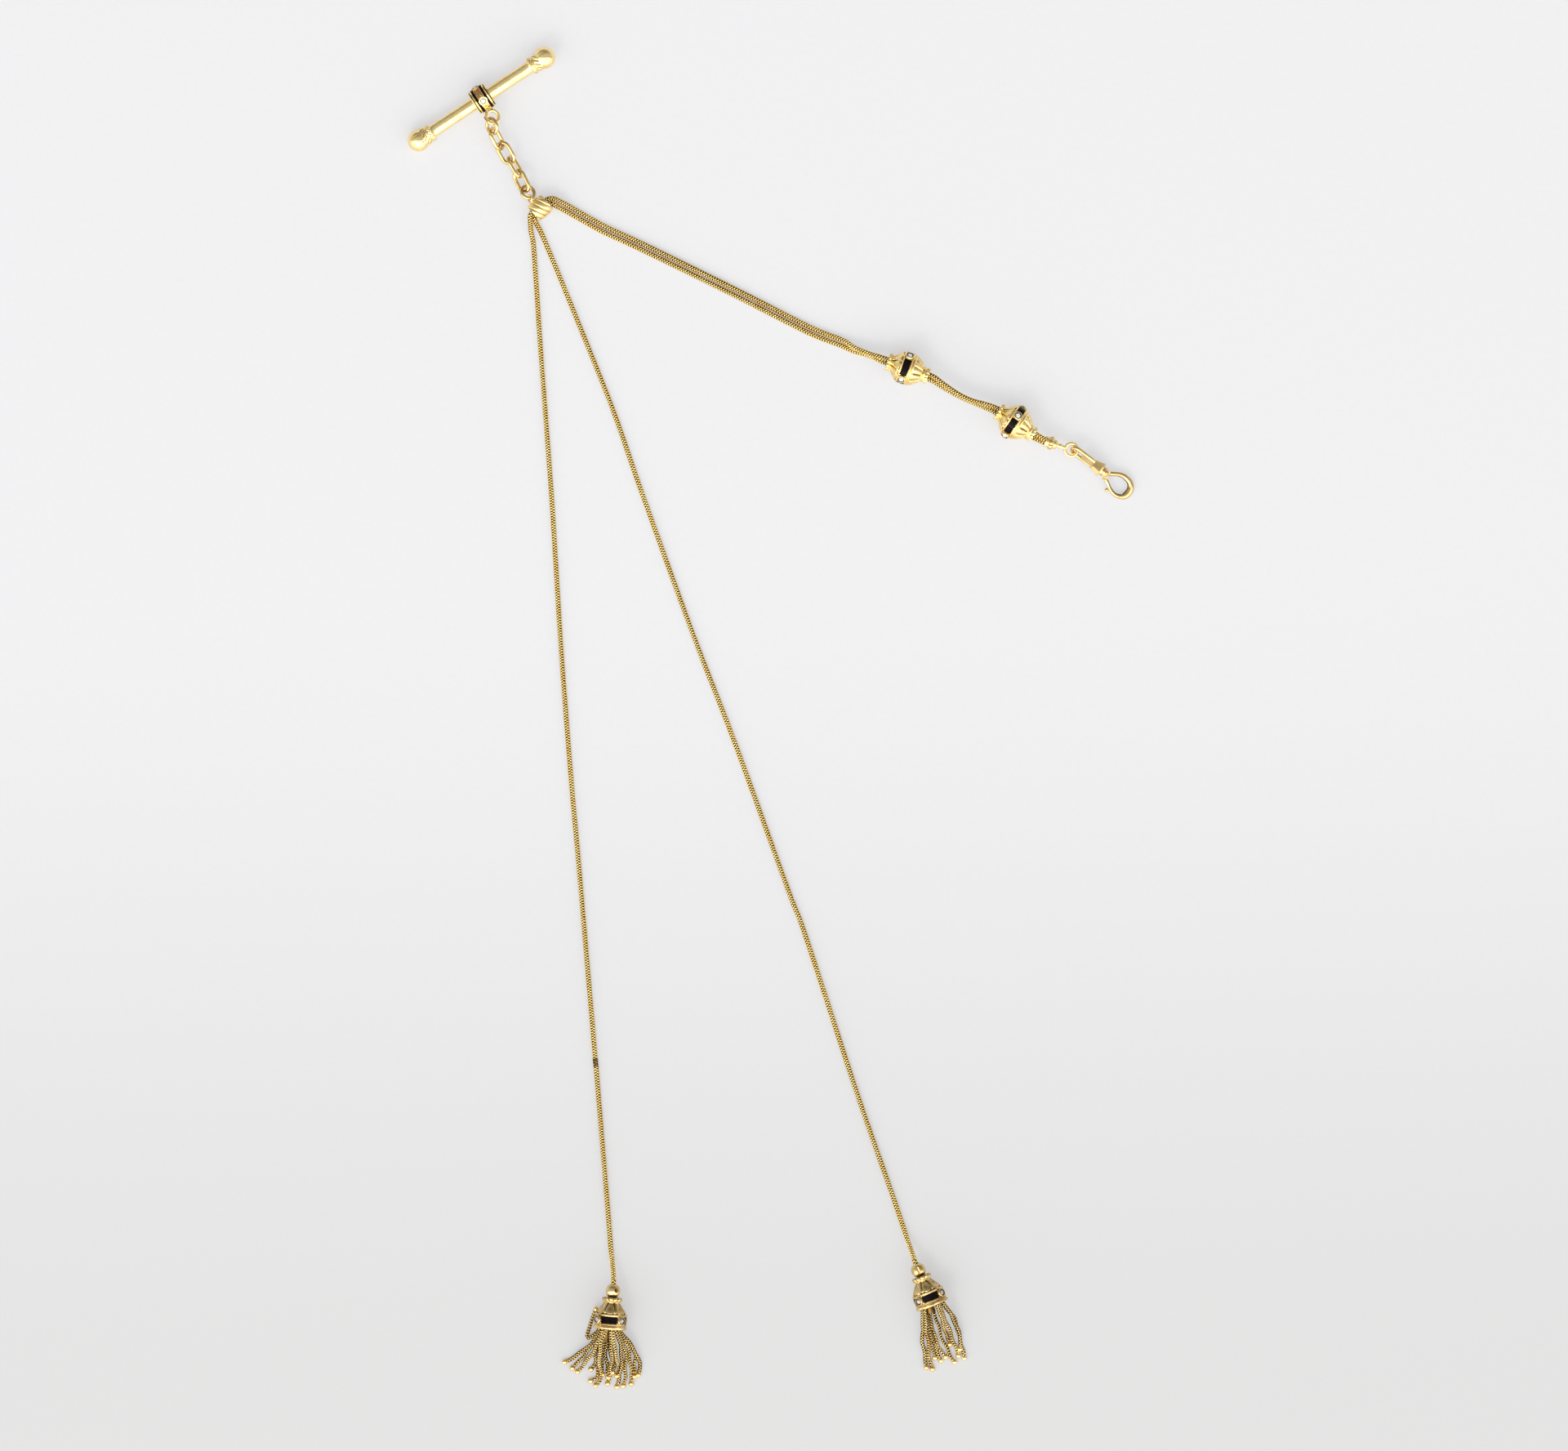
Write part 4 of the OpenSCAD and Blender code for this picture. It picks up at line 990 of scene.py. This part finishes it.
# %% [markdown]
# The fringe is cut from finer foxtail chain, and a gold ball is soldered to each free end. The
# chains hang from a plate inside the cap, spread over the table where they land, and keep the
# kinks of long wear. Each follows its own smooth line, from the same table as the solid fringe,
# with a slow sideways wave as its kinks. Their undersides are painted darker, as shade.

# %% Lay the fringe chains
# Thickness, wire, pitch and height of one ring
FRINGE_WEAVE = (0.93, 0.25, 0.31, 0.62)
# Share of painted shade on the undersides of the fringe chains
FRINGE_UNDER_SHADE = 0.8
KINK = 0.2
BALL_D = 1.28
# How far the chains are drawn together in the mouth
BUNCH = 0.94
MOUTH = CAP_START + CAP_LEN
BALL_LEAD = 2.0
CHAIN_LOW = 0.48
BALL_LOW = BALL_D / 2 + 0.02
# Rows of side and height at the cap, then along, side and height of the knee,
# then along, side and heading at the ball
FRINGES = [[
    (2.5, 0.1, 11.8, 3.8, 2.6, 16.6, 9.4, 60), (1.9, 1.5, 12.4, 3.5, 2.9, 17.8, 7.6, 38),
    (1.5, 2, 12.8, 2.9, 3.9, 18.5, 6.4, 38), (2.4, 0.9, 12, 2.9, 2.6, 17.7, 3.5, 30),
    (1.6, -1.9, 12.6, 2, 1.2, 20.3, 3.4, 48), (0.8, 2.3, 12.6, 1.9, 4.9, 21.2, 2.2, 28),
    (0.2, -2.1, 14, 0.5, 0.8, 19.2, -0.4, -10), (-0.3, 2.4, 13.8, -0.8, 3.9, 20.6, -0.4, 14),
    (-0.8, 2.4, 13.4, -1.6, 4.2, 18.7, -2.3, 8), (-1.6, 1.8, 13.1, -3, 3.2, 21.1, -2.5, 12),
    (-2.1, 1.2, 13.4, -3.7, 2.5, 20.8, -3.9, 8), (-2.5, 0.4, 13.1, -4.6, 1.7, 20.2, -5.6, -5),
    (-2.4, -0.6, 12.3, -5.5, 1.8, 18.1, -7, 4), (-1.9, -1.7, 12.8, -5.4, 0.8, 18.5, -6.2, -2),
    (0.9, -2.1, 14.2, 1.3, 0.7, 18.6, 0.9, -8), (-0.5, -2.1, 14.2, -0.5, 0.7, 18, -1.3, 6),
], [
    (2.62, 0.2, 13.6, 4.5, 2, 20.7, 6.4, 12), (2.2, 1.3, 13.9, 3.6, 2.6, 21.5, 5.3, 6),
    (2.4, -0.8, 14, 3.1, 1.6, 19.4, 3.9, 6), (1.9, -1.6, 13.7, 2.6, 1.2, 20.5, 2.9, -4),
    (1.2, -2.1, 14.7, 2.2, 0.8, 20.1, 1.6, -14), (0.2, -2.2, 13.9, 0.7, 0.8, 21.9, 0.2, -14),
    (-1, 2.3, 13.2, -0.7, 3.4, 17.9, -0.3, 2), (-1.5, 1.9, 13.7, -1.3, 2.9, 20.9, -1.1, 5),
    (-2.2, -1, 13.4, -3.3, 1, 19.7, -1.9, 24), (-2.5, 0.6, 13.2, -3.2, 2.2, 21.9, -2.1, 12),
]]
CURLED_CHAIN = [
    (7.2, 1.9, 2.7), (8.6, 2.3, 2.5), (10, 3.5, 1.7), (10.9, 4.7, 0.9), (10.2, 4.9, 0.6),
    (8, 4.4, 0.6), (6, 3.95, 0.8), (4.4, 3.4, 1.2),
]


def chain_line(row, number):
    side, up, knee, knee_side, knee_up, ball, ball_side, heading = row
    height = TASSEL_PLACES[0][2] + BUNCH * up
    a = math.radians(heading)
    lead = (ball - BALL_LEAD * math.cos(a), -ball_side + BALL_LEAD * math.sin(a), CHAIN_LOW + 0.1)
    line = curve_through([(MOUTH - 1.6, -BUNCH * side, height), (MOUTH + 0.3, -BUNCH * side, height),
                          (knee, -knee_side, knee_up), lead, (ball, -ball_side, BALL_LOW)], 8)
    line[:, 2] = np.maximum(line[:, 2], CHAIN_LOW)
    loose = plateau(line[:, 0], knee - 2.5, knee - 1, ball - 2.6, ball - 1.4)
    line[:, 1] += KINK * loose * np.sin(1.15 * line[:, 0] + 2.3 * number)
    return line


print("chains in the two fringes:", [len(rows) for rows in FRINGES])

# %% [markdown]
# Each chain ends in a gold ball with a small collar, and a plate inside the cap carries the other
# ends. Chains, balls and plate are one piece, as the fringe is when it drops out of an open cap.

# %% End the chains and hang the fringes


def add_ball(shape, line):
    """A ball with a small collar, at the end of a chain."""
    direction = unit(line[-1] - line[-3])
    side, up = side_and_up(direction)
    polar = np.radians([172, 160, 140, 118, 96, 74, 52, 36, 28])
    rows = [(BALL_D / 2 * math.cos(p), BALL_D / 2 * math.sin(p)) for p in polar]
    collar = [(0.7, 0.26), (0.74, 0.36), (0.84, 0.36), (0.88, 0.24)]
    rings = turned(rows + collar, 16) @ np.array([-direction, side, up]) + line[-1]
    # The collar takes the mask: brown film and painted shade beside the ball
    shape.rings(rings, [0.0] * len(rows) + [0.9, 0.6, 0.6, 1.0])


def add_plate(shape):
    """The plate inside the cap that carries the chains."""
    rows = [(MOUTH - 2.4, 1.16), (MOUTH - 2.4, 2.94), (MOUTH - 1.2, 2.94), (MOUTH - 1.2, 1.16)]
    # The plate is painted dark, as shade inside the cap
    shape.rings(turned(rows) + np.array([0, 0, TASSEL_PLACES[0][2]]), 1.0, closed=True)


for t, rows in enumerate(FRINGES):
    fringe = Shape()
    lines = [chain_line(row, number) for number, row in enumerate(rows)]
    if t == 0:
        lines.append(curve_through([(x, -y, z) for x, y, z in CURLED_CHAIN], 8))
    links = 0
    for k, line in enumerate(lines):
        links += lay_foxtail(fringe, line[:-2], FRINGE_WEAVE, 25 + 31 * k, FRINGE_UNDER_SHADE)
        add_ball(fringe, line)
    add_plate(fringe)
    x, y = TASSEL_PLACES[t][:2]
    fringe.piece(f"foxtail_fringe_{t + 1}", golds["antique_fringe_gold"], "chain", "antique_gold",
                 [f"tassel_{t + 1}_fringe"], sharp=180, turn=heading_and_pitch(TASSEL_HEADINGS[t]),
                 shift=(x, y, 0))
    print("fringe", t + 1, "chains:", len(lines), "rings:", links)

# %% [markdown]
# The small slide bead over the parting of the strands is a barrel wrapped in slanting ribs, with
# a lug that holds the last ring of the link chain. The ribs run round like a screw with four
# starts, and the same sum gives their height and the brown film and painted shade between them.

# %% Turn the ribbed slide bead
SLIDE_PLACE = (-50.8, 112.3, 2.42)
SLIDE_D = 4.5
SLIDE_LEN = 4.0
SLIDE_BORE_R = 1.55
SLIDE_COLUMNS = 120
RIB_STARTS = 4
RIBS = 3.3
RIB_GROOVE = 0.16
LUG_CENTRE = (-0.35, 3, 0)
LUG_R = 0.86
LUG_WIRE = 0.36


def eye_rings(centre_r, wire):
    """A round eye in the flat, bent from round wire."""
    a, b = circle(40)[:, None], circle(12)[None, :]
    r = centre_r + wire / 2 * np.cos(b)
    return np.stack([r * np.cos(a), r * np.sin(a), 0 * a + wire / 2 * np.sin(b)], axis=2)


def slide_shape():
    shape = Shape()
    along = np.linspace(-SLIDE_LEN / 2, SLIDE_LEN / 2, 72)
    radius = SLIDE_D / 2 * np.sqrt(1 - (1.1 * along / SLIDE_LEN) ** 2)

    def ribs(turn, z):
        lean = np.abs((RIBS * z / SLIDE_LEN - RIB_STARTS * turn / 360) % 1 * 2 - 1)
        return 0.1 - 0.06 * lean ** 2 - RIB_GROOVE * hump(lean, 1, 0.24)

    bore = bore_through(along, SLIDE_BORE_R)
    chased(shape, along, radius, SLIDE_COLUMNS, ribs, bore, high_side=-0.02)
    shape.points = [p @ LAID.T for p in shape.points]
    lug_turn = turn_about("z", -32) @ turn_about("y", 117)
    shape.rings(eye_rings(LUG_R, LUG_WIRE) @ lug_turn.T + np.array(LUG_CENTRE), closed=True)
    return shape


slide_bead = slide_shape()
slide_bead.piece("ribbed_slide_bead", golds["carved_gold"], "chain", "yellow_gold", ["slide_bead"],
                 turn=heading_and_pitch(SLIDE_HEADING), shift=SLIDE_PLACE)
print("slide bead points:", slide_bead.count)

# %% [markdown]
# The ferrule closes the pair's end: a cup, a lobed bulge, a small bead on a stem, and an eye.
# The solid has the same outline without lobes, so only the chased lobes are new here.

# %% Turn the ferrule
FERRULE_PLACE = (60.2, 60.9, 3.7)
FERRULE_HEADING = -17.8
FERRULE_PITCH = -7
# Rows of distance and radius
FERRULE_ROWS = [
    (0, 1.26), (0.4, 1.28), (0.52, 1.12), (0.8, 1.16), (1.1, 1.46), (1.36, 1.6), (1.62, 1.52),
    (1.9, 1.2), (2.02, 1.02), (2.2, 1.1), (2.5, 1.06), (2.8, 0.78), (2.95, 0.48), (3.34, 0.46),
    (3.44, 0.6), (3.62, 0.64), (3.8, 0.58), (3.9, 0.46), (4.72, 0.44),
]
FERRULE_LOBES = 9
FERRULE_COLUMNS = 108
LOBE_DEEP = 0.15
EYE_AT = 6.2
EYE_R = 1.38
EYE_WIRE = 0.76


def ferrule_shape():
    shape = Shape()
    rows = np.array(FERRULE_ROWS)
    along = steps_between(rows[:, 0], 0.07)

    def lobes(turn, z):
        on_bulge = plateau(z, 0.6, 0.9, 1.7, 1.95)
        on_neck = plateau(z, 2.04, 2.14, 2.6, 2.8)
        return -LOBE_DEEP * (on_bulge + 0.6 * on_neck) * in_lobe(turn, FERRULE_LOBES) ** 2

    chased(shape, along, np.interp(along, rows[:, 0], rows[:, 1]), FERRULE_COLUMNS, lobes)
    shape.points = [p @ LAID.T for p in shape.points]
    shape.rings(eye_rings(EYE_R, EYE_WIRE) + np.array([EYE_AT, 0, 0]), closed=True)
    return shape


ferrule = ferrule_shape()
ferrule.piece("chased_ferrule", golds["carved_gold"], "chain", "yellow_gold", ["ferrule"],
              sharp=50, turn=heading_and_pitch(FERRULE_HEADING, FERRULE_PITCH), shift=FERRULE_PLACE)
print("ferrule points:", ferrule.count)

# %% [markdown]
# The swivel's hook is forged: round at the shoulder, broad and flat at the nose. A gate on a
# pin closes it. An oval section swept along a line gives the forged swell. The rows below are
# that line as the photograph shows it, with the half width at each point.

# %% Draw the hook and its gate
HOOK_THICK = 0.62
# Rows of distance along the swivel, distance to its left and half width
HOOK_LINE = [
    (1.5, 0.1, 0.56), (2.4, 0.42, 0.54), (3.42, 1.08, 0.5), (4.31, 1.62, 0.5), (5.27, 1.9, 0.54),
    (6, 1.9, 0.62), (7.03, 1.72, 0.66), (7.72, 1.28, 0.7), (8.2, 0.62, 0.76), (8.4, -0.16, 0.8),
    (8.34, -0.9, 0.8), (8.1, -1.5, 0.74), (7.75, -1.92, 0.64), (7.2, -2.28, 0.54), (6.6, -2.48, 0.5),
]
GATE_LINE = [
    (7.5, -2.12, 0.58), (7.1, -2.33, 0.52), (6.6, -2.48, 0.48), (6, -2.52, 0.45),
    (5.4, -2.42, 0.44), (4.7, -2.15, 0.41), (4.05, -1.84, 0.39), (3.3, -1.42, 0.43),
    (2.75, -1.15, 0.46),
]


def swept_rings(rows, sides=24):
    """Oval sections along a flat line: rows of x, y and half width."""
    table = curve_through(rows, 5)
    line = np.column_stack([table[:, 0], table[:, 1], np.zeros(len(table))])
    side = np.cross(unit(np.gradient(line, axis=0)), [0, 0, 1])
    a = circle(sides)[None, :, None]
    wide = table[:, 2][:, None, None]
    return (line[:, None, :] + wide * np.cos(a) * side[:, None, :]
            + np.minimum(wide, HOOK_THICK) * np.sin(a) * np.array([0, 0, 1.0]))


print("sections along the hook:", len(swept_rings(HOOK_LINE)))

# %% [markdown]
# The gate swings about its pin, so whatever has to clear the gate is cut round about that pin:
# the room for its knuckle and the end of the nose. Discs and blocks do that, each a little larger
# than what moves in it, so that small gaps stay between the forgings as on a real swivel.

# %% Make the tools for the hook
SHOULDER = [(1.2, 0.9), (2.3, 0.84), (2.76, 0.2), (2.5, -0.3), (1.9, -0.9), (1.2, -0.9)]
# Rows of distance along and radius of the ribbed collar behind the hook
COLLAR_ROWS = [
    (0.51, 1.16), (0.8, 1.16), (0.86, 0.94), (0.98, 0.94), (1.04, 1.08), (1.34, 1.08), (1.4, 0.9),
    (1.5, 0.9), (1.56, 1), (1.86, 1), (2.1, 0.86),
]
# The nose is cut back on an arc ahead of this distance and to the right of this side
NOSE_CUT = (3.4, -0.4)
NOSE_GAP = 0.1
PIVOT = (2.3, -1.05)
PIVOT_GAP = 0.05
EAR_ROOM = 0.1
SWING_R = 5.1
KNUCKLE_R = 0.5
PIN_R = 0.2
# Half the heights of the gate's ears, of the tongue between them and of a cut right through
EARS_HALF = 0.57
TONGUE_HALF = 0.21
THROUGH = 2


def block_rings(outline, half_high):
    return np.array([[(x, y, z) for x, y in outline] for z in (-half_high, half_high)])


def pivot_disc(r, half_high, sides=32):
    """A disc about the gate's pin."""
    x, y = PIVOT
    return block_rings([(x + r * math.cos(k), y + r * math.sin(k)) for k in circle(sides)], half_high)


def nose_cutter():
    """The part of the gate's swing that lies ahead of one line and below another."""
    swing = pivot_disc(SWING_R + NOSE_GAP, THROUGH, 96)[0]
    ring = [(max(x, NOSE_CUT[0]), min(y, NOSE_CUT[1])) for x, y, z in swing]
    return block_rings([p for p, before in zip(ring, ring[-1:] + ring) if p != before], THROUGH)


print("corners of the nose cutter:", len(nose_cutter()[0]))

# %% [markdown]
# At the bench a file and solder cut and join the forgings. Booleans do the same to whole solids,
# and each step is applied at once, so that the next one works on a plain mesh. The walls that face
# the hook's opening are painted darker, as shade.

# %% Cut and join the hook
SWIVEL_PLACE = (72.27, 54.9, 1.96)
SWIVEL_HEADING = -36.5
SWIVEL_PITCH = -8.2
OPENING_MIDDLE = (6.0, -0.3)


def loose_solid(rings):
    shape = Shape()
    shape.rings(rings)
    return mesh_object("loose", shape.points[0], shape.faces)


def joined(start, steps):
    """Adds or cuts solids one after another. Each step is an operation and a solid's rings."""
    for operation, rings in steps:
        tool = loose_solid(rings)
        change = start.modifiers.new("change", "BOOLEAN")
        change.operation = operation
        change.solver = "EXACT"
        change.object = tool
        ready = start.evaluated_get(bpy.context.evaluated_depsgraph_get())
        mesh = bpy.data.meshes.new_from_object(ready)
        start.modifiers.clear()
        start.data = mesh
        bpy.data.objects.remove(tool)
    return start


def finish_forging(made, name, body, replaces):
    def read(word):
        numbers = np.zeros(3 * len(made.data.vertices))
        made.data.vertices.foreach_get(word, numbers)
        return numbers.reshape(-1, 3)

    points = read("co")
    to_middle = unit(OPENING_MIDDLE - points[:, :2])
    inward = np.sum(read("normal")[:, :2] * to_middle, axis=1)
    shape = Shape()
    # Walls that face the hook's opening are painted darker, as shade
    shape.add(points, [list(p.vertices) for p in made.data.polygons], smooth_step(inward, 0.45, 0.9))
    bpy.data.objects.remove(made)
    turn = heading_and_pitch(SWIVEL_HEADING, SWIVEL_PITCH)
    shape.piece(name, golds["worn_hook_gold"], body, "yellow_gold", replaces, sharp=38, turn=turn,
                shift=SWIVEL_PLACE)
    print(name, "points:", shape.count)


hook = joined(loose_solid(swept_rings(HOOK_LINE)), [
    ("UNION", turned(COLLAR_ROWS)),
    ("UNION", block_rings(SHOULDER, HOOK_THICK)),
    ("DIFFERENCE", pivot_disc(KNUCKLE_R + PIVOT_GAP, THROUGH)),
    ("DIFFERENCE", nose_cutter()),
])
print("hook body points:", len(hook.data.vertices))

# %% [markdown]
# The cuts above clear the room round the pin. The tongue that the gate's two ears close on goes
# in after them, with its pin, and so does the post, which turns in the bell and is headed inside
# it. The gate is an arc at its free end, and a small knob on it gives the thumb a hold.

# %% Fit the tongue, post and gate
BELL_FRONT = 0.45
POST_R = 0.45
POST_HEAD_R = 0.76
KNOB = (4.1, -2.82)
KNOB_R = 0.42
ROOT = [(1.2, -1.05), (2.1, -1.05), (2.1, -0.15), (1.2, -0.15)]
hook = joined(hook, [
    ("UNION", pivot_disc(KNUCKLE_R, TONGUE_HALF)),
    ("UNION", block_rings(ROOT, TONGUE_HALF)),
    ("UNION", pivot_disc(PIN_R, EARS_HALF, 20)),
    ("UNION", turned([(BELL_FRONT - 0.9, POST_R), (BELL_FRONT + 0.3, POST_R)])),
    ("UNION", turned([(BELL_FRONT - 1.1, POST_HEAD_R), (BELL_FRONT - 0.65, POST_HEAD_R)])),
])
finish_forging(hook, "forged_hook", "hook", ["swivel_hook"])

knob_rows = [(KNOB_R * -math.cos(p), KNOB_R * math.sin(p)) for p in np.radians(np.linspace(4, 176, 14))]
gate = joined(loose_solid(swept_rings(GATE_LINE)), [
    ("INTERSECT", pivot_disc(SWING_R, THROUGH, 96)),
    ("UNION", pivot_disc(KNUCKLE_R, EARS_HALF)),
    ("UNION", swept_rings([(*KNOB, 0.22), (4.2, -2.45, 0.22), (4.3, -2.1, 0.24)], 16)),
    ("UNION", turned(knob_rows, 24) + np.array([*KNOB, 0])),
    ("DIFFERENCE", pivot_disc(KNUCKLE_R + EAR_ROOM, TONGUE_HALF + PIVOT_GAP)),
    ("DIFFERENCE", pivot_disc(PIN_R + PIVOT_GAP, THROUGH, 20)),
])
finish_forging(gate, "forged_gate", "gate", ["swivel_gate"])

# %% [markdown]
# Each stone is a small old cut: a flat table, eight main facets round it and eight star facets
# between them, down to a round girdle. The solids have the table and the main facets only, so the
# finer cut replaces each one in its own seat.

# %% Cut the stones
STONE_H = 0.36
GIRDLE_H = 0.12
STAR_H = 0.22
FACETS = 16
COLLAR_ROLL = 16
COLLAR_R = 2.84
# How far the collar's stones stand out of it
COLLAR_RISE = 0.14


def stone_points(drum_r):
    """Rings of one stone that faces along +x, from its bottom up to its table."""
    foot = drum_r + BEZEL_RISE - STONE_H
    odd = np.arange(FACETS) % 2
    radii = [
        (0.0, np.full(FACETS, STONE_R - 0.08)),
        (GIRDLE_H - 0.02, np.full(FACETS, STONE_R)),
        (GIRDLE_H + 0.02, np.full(FACETS, STONE_R)),
        (STAR_H, STONE_R * np.where(odd, 0.83, 0.88)),
        (STONE_H, STONE_R * np.where(odd, 0.56, 0.6))]
    a = np.radians(np.arange(FACETS) * 360 / FACETS)
    rings = [np.stack([foot + h + 0 * a, r * np.cos(a), r * np.sin(a)], axis=1) for h, r in radii]
    return np.array(rings)


drums.append(("collar", COLLAR_R + COLLAR_RISE - BEZEL_RISE, 0, COLLAR_ROLL, bar_turn @ LAID, BAR_PLACE))
for owner, drum_r, along, first, turn, shift in drums:
    finish = dull_stone if owner.startswith("tassel") else clear_stone
    for q in range(STONES):
        node = f"{owner}_stone_{q + 1}"
        stone = Shape()
        points = stone_points(drum_r) @ turn_about("z", first + 90 * q).T + np.array([0, 0, along])
        # The girdle and lower facets are painted dark, as shade where the stone meets its cup
        stone.rings(points, [1, 1, 1, 0.7, 0])
        stone.piece(f"cut_{node}", finish, "chain", "white_stone", [node], sharp=4, turn=turn,
                    shift=shift)
print("stones set:", STONES * len(drums))

# %% [markdown]
# The collar's middle band is pricked over its upper stretch between the two enamel stripes, so
# that it looks grained and brown against the polished rims. The solid already has the rims,
# grooves and settings, so only its finish changes: a fine cell pattern, kept to the band by
# distance along and across the bar and kept off the setting, and painted shade in the rims' grooves.

# %% Grain the collar


def grained_collar_finish():
    material, shader, place = new_finish("grained_collar_gold")

    def measured(operation, direction):
        sockets = {0: place, 1: tuple(direction)}
        return shader.node("VectorMath", {"operation": operation}, sockets, out=1)

    axis, left = bar_turn[:, 0], bar_turn[:, 1]
    along = measured("DOT_PRODUCT", axis) - float(np.dot(axis, BAR_PLACE))
    off_centre = shader.node("Math", {"operation": "ABSOLUTE"}, {0: along})
    side = measured("DOT_PRODUCT", left) - float(np.dot(left, BAR_PLACE))
    outward = bar_turn @ LAID @ turn_about("z", COLLAR_ROLL) @ np.array([COLLAR_R, 0, 0])
    setting = measured("DISTANCE", BAR_PLACE + outward)
    band = (1 - off_centre.between(0.58, 0.66)) * side.between(-1.0, -0.7) * setting.between(0.98, 1.06)
    cells = shader.node("TexVoronoi", {}, {"Vector": place, "Scale": 1 / 0.3}, out=0)
    grain = cells.between(0.15, 0.6)
    tone = shader.noise(place, 1.6).between(0.3, 0.7)
    metal = shader.mix(tone, colour(253, 228, 160), colour(250, 214, 134))
    grained = shader.mix(band * (0.35 + 0.5 * grain), metal, colour(150, 88, 40))
    # Painted shade in the grooves beside the rims
    groove_shade = off_centre.between(1.66, 1.74) * (1 - off_centre.between(1.84, 1.92))
    shader.cover({
        "Base Color": shader.mix(groove_shade, grained, colour(60, 38, 12)), "Metallic": 1.0,
        "Roughness": 0.13 + 0.25 * band, "Normal": shader.bump(0.8, 0.08, 1 - grain * band)})
    return material


collar_gold = grained_collar_finish()
print("collar finish:", collar_gold.name)

# %% [markdown]
# The remaining solids, such as the links, the bell and the enamel panels, are already true to the
# real pieces. Each takes the finish of its metal, enamel or stone, and its mesh stays as it was
# packed.

# %% Give the solids their finishes


def finish_for(node):
    if "enamel" in node:
        return enamel
    if "stone" in node:
        return dull_stone if node.startswith("tassel") else clear_stone
    if node == "collar":
        return collar_gold
    if node == "swivel_bell":
        return golds["faceted_bell_gold"]
    if node.endswith("_tube"):
        return golds["dark_rough_tube_gold"]
    if node.startswith("tassel"):
        return golds["antique_cap_gold"]
    if "link" in node or "ring" in node:
        return golds["worn_link_gold"]
    return golds["polished_gold"]


for name, thing in nodes.items():
    thing.data.materials.clear()
    thing.data.materials.append(finish_for(name))
print("finished solids:", len(nodes))

# %% [markdown]
# The table is a pale sheet that is a little darker towards the bottom of the picture. It also
# glows with its own colour, painted light that keeps the gold's shadows on it faint. It reaches far
# out, so that its edge stays out of the low views. It is only a stage, not part of the chain.

# %% Lay the pale table
TABLE_HALF = 6.0
TABLE_PAINTED_GLOW = 2.0


def lay_table():
    corners = [(x * TABLE_HALF, y * TABLE_HALF, 0) for x, y in ((-1, -1), (1, -1), (1, 1), (-1, 1))]
    mesh = bpy.data.meshes.new("pale_table")
    mesh.from_pydata(corners, [], [(0, 1, 2, 3)])
    table = bpy.data.objects.new("pale_table", mesh)
    bpy.context.scene.collection.objects.link(table)
    material, shader, place = new_finish("pale_sheet")
    low = 1 - shader.node("SeparateXYZ", {}, {0: place}, out=1).between(-150.0, 40.0)
    fibre = shader.noise(place, 1.2, detail=6.0)
    pale = shader.mix(low, colour(137, 137, 138), colour(128, 128, 128))
    base = shader.mix(fibre.between(0.3, 0.7) * 0.04, pale, colour(118, 118, 118))
    # The glow is painted light, so the shadows on the table stay faint
    shader.cover({
        "Base Color": base, "Roughness": 0.75, "Normal": shader.bump(0.1, 0.05, fibre),
        "Emission Color": base, "Emission Strength": TABLE_PAINTED_GLOW})
    mesh.materials.append(material)
    return table


table = lay_table()
print("table:", table.name)

# %% [markdown]
# Gold shows what it mirrors. The photograph's bright lower edges and browner upper edges mean a
# large window beyond the bottom of the picture and a darker room beyond its top, with a dim seam
# overhead between them. The world makes that room, and one wide lamp gives the faint shadows that
# fall up and to the right.

# %% Light the room
LAMP_PLACE = (-0.5, -0.9, 1.3)
LAMP_WIDE = 0.5
LAMP_WATTS = 6


def light_room():
    world = bpy.data.worlds.new("soft_room")
    bpy.context.scene.world = world
    shader = Shader(world)
    way = shader.node("TexCoord", out=0)
    south = 0 - shader.node("SeparateXYZ", {}, {0: way}, out=1)
    up = shader.node("SeparateXYZ", {}, {0: way}, out=2)
    window = south.between(0.04, 0.2) * (0.55 + 0.45 * up.between(0.1, 0.5))
    seam = south.between(-0.14, 0.0) * (1 - south.between(0.0, 0.12))
    far_side = (0 - south).between(0.35, 0.95)
    strength = 0.6 + 1.9 * window - 0.3 * seam - 0.35 * far_side
    background = shader.node("Background", {}, {"Color": (1.0, 0.995, 0.99, 1.0), "Strength": strength})
    shader.node("OutputWorld", {}, {"Surface": background})


def hang_lamp():
    data = bpy.data.lights.new("wide_lamp", "AREA")
    data.shape = "DISK"
    data.size = LAMP_WIDE
    data.energy = LAMP_WATTS
    lamp = bpy.data.objects.new("wide_lamp", data)
    lamp.location = LAMP_PLACE
    lamp.rotation_mode = "QUATERNION"
    lamp.rotation_quaternion = (-Vector(LAMP_PLACE)).to_track_quat("-Z", "Y")
    bpy.context.scene.collection.objects.link(lamp)
    return lamp


light_room()
lamp = hang_lamp()
bpy.context.scene.view_settings.view_transform = "Standard"
print("lamp power in watts:", lamp.data.energy)

# %% [markdown]
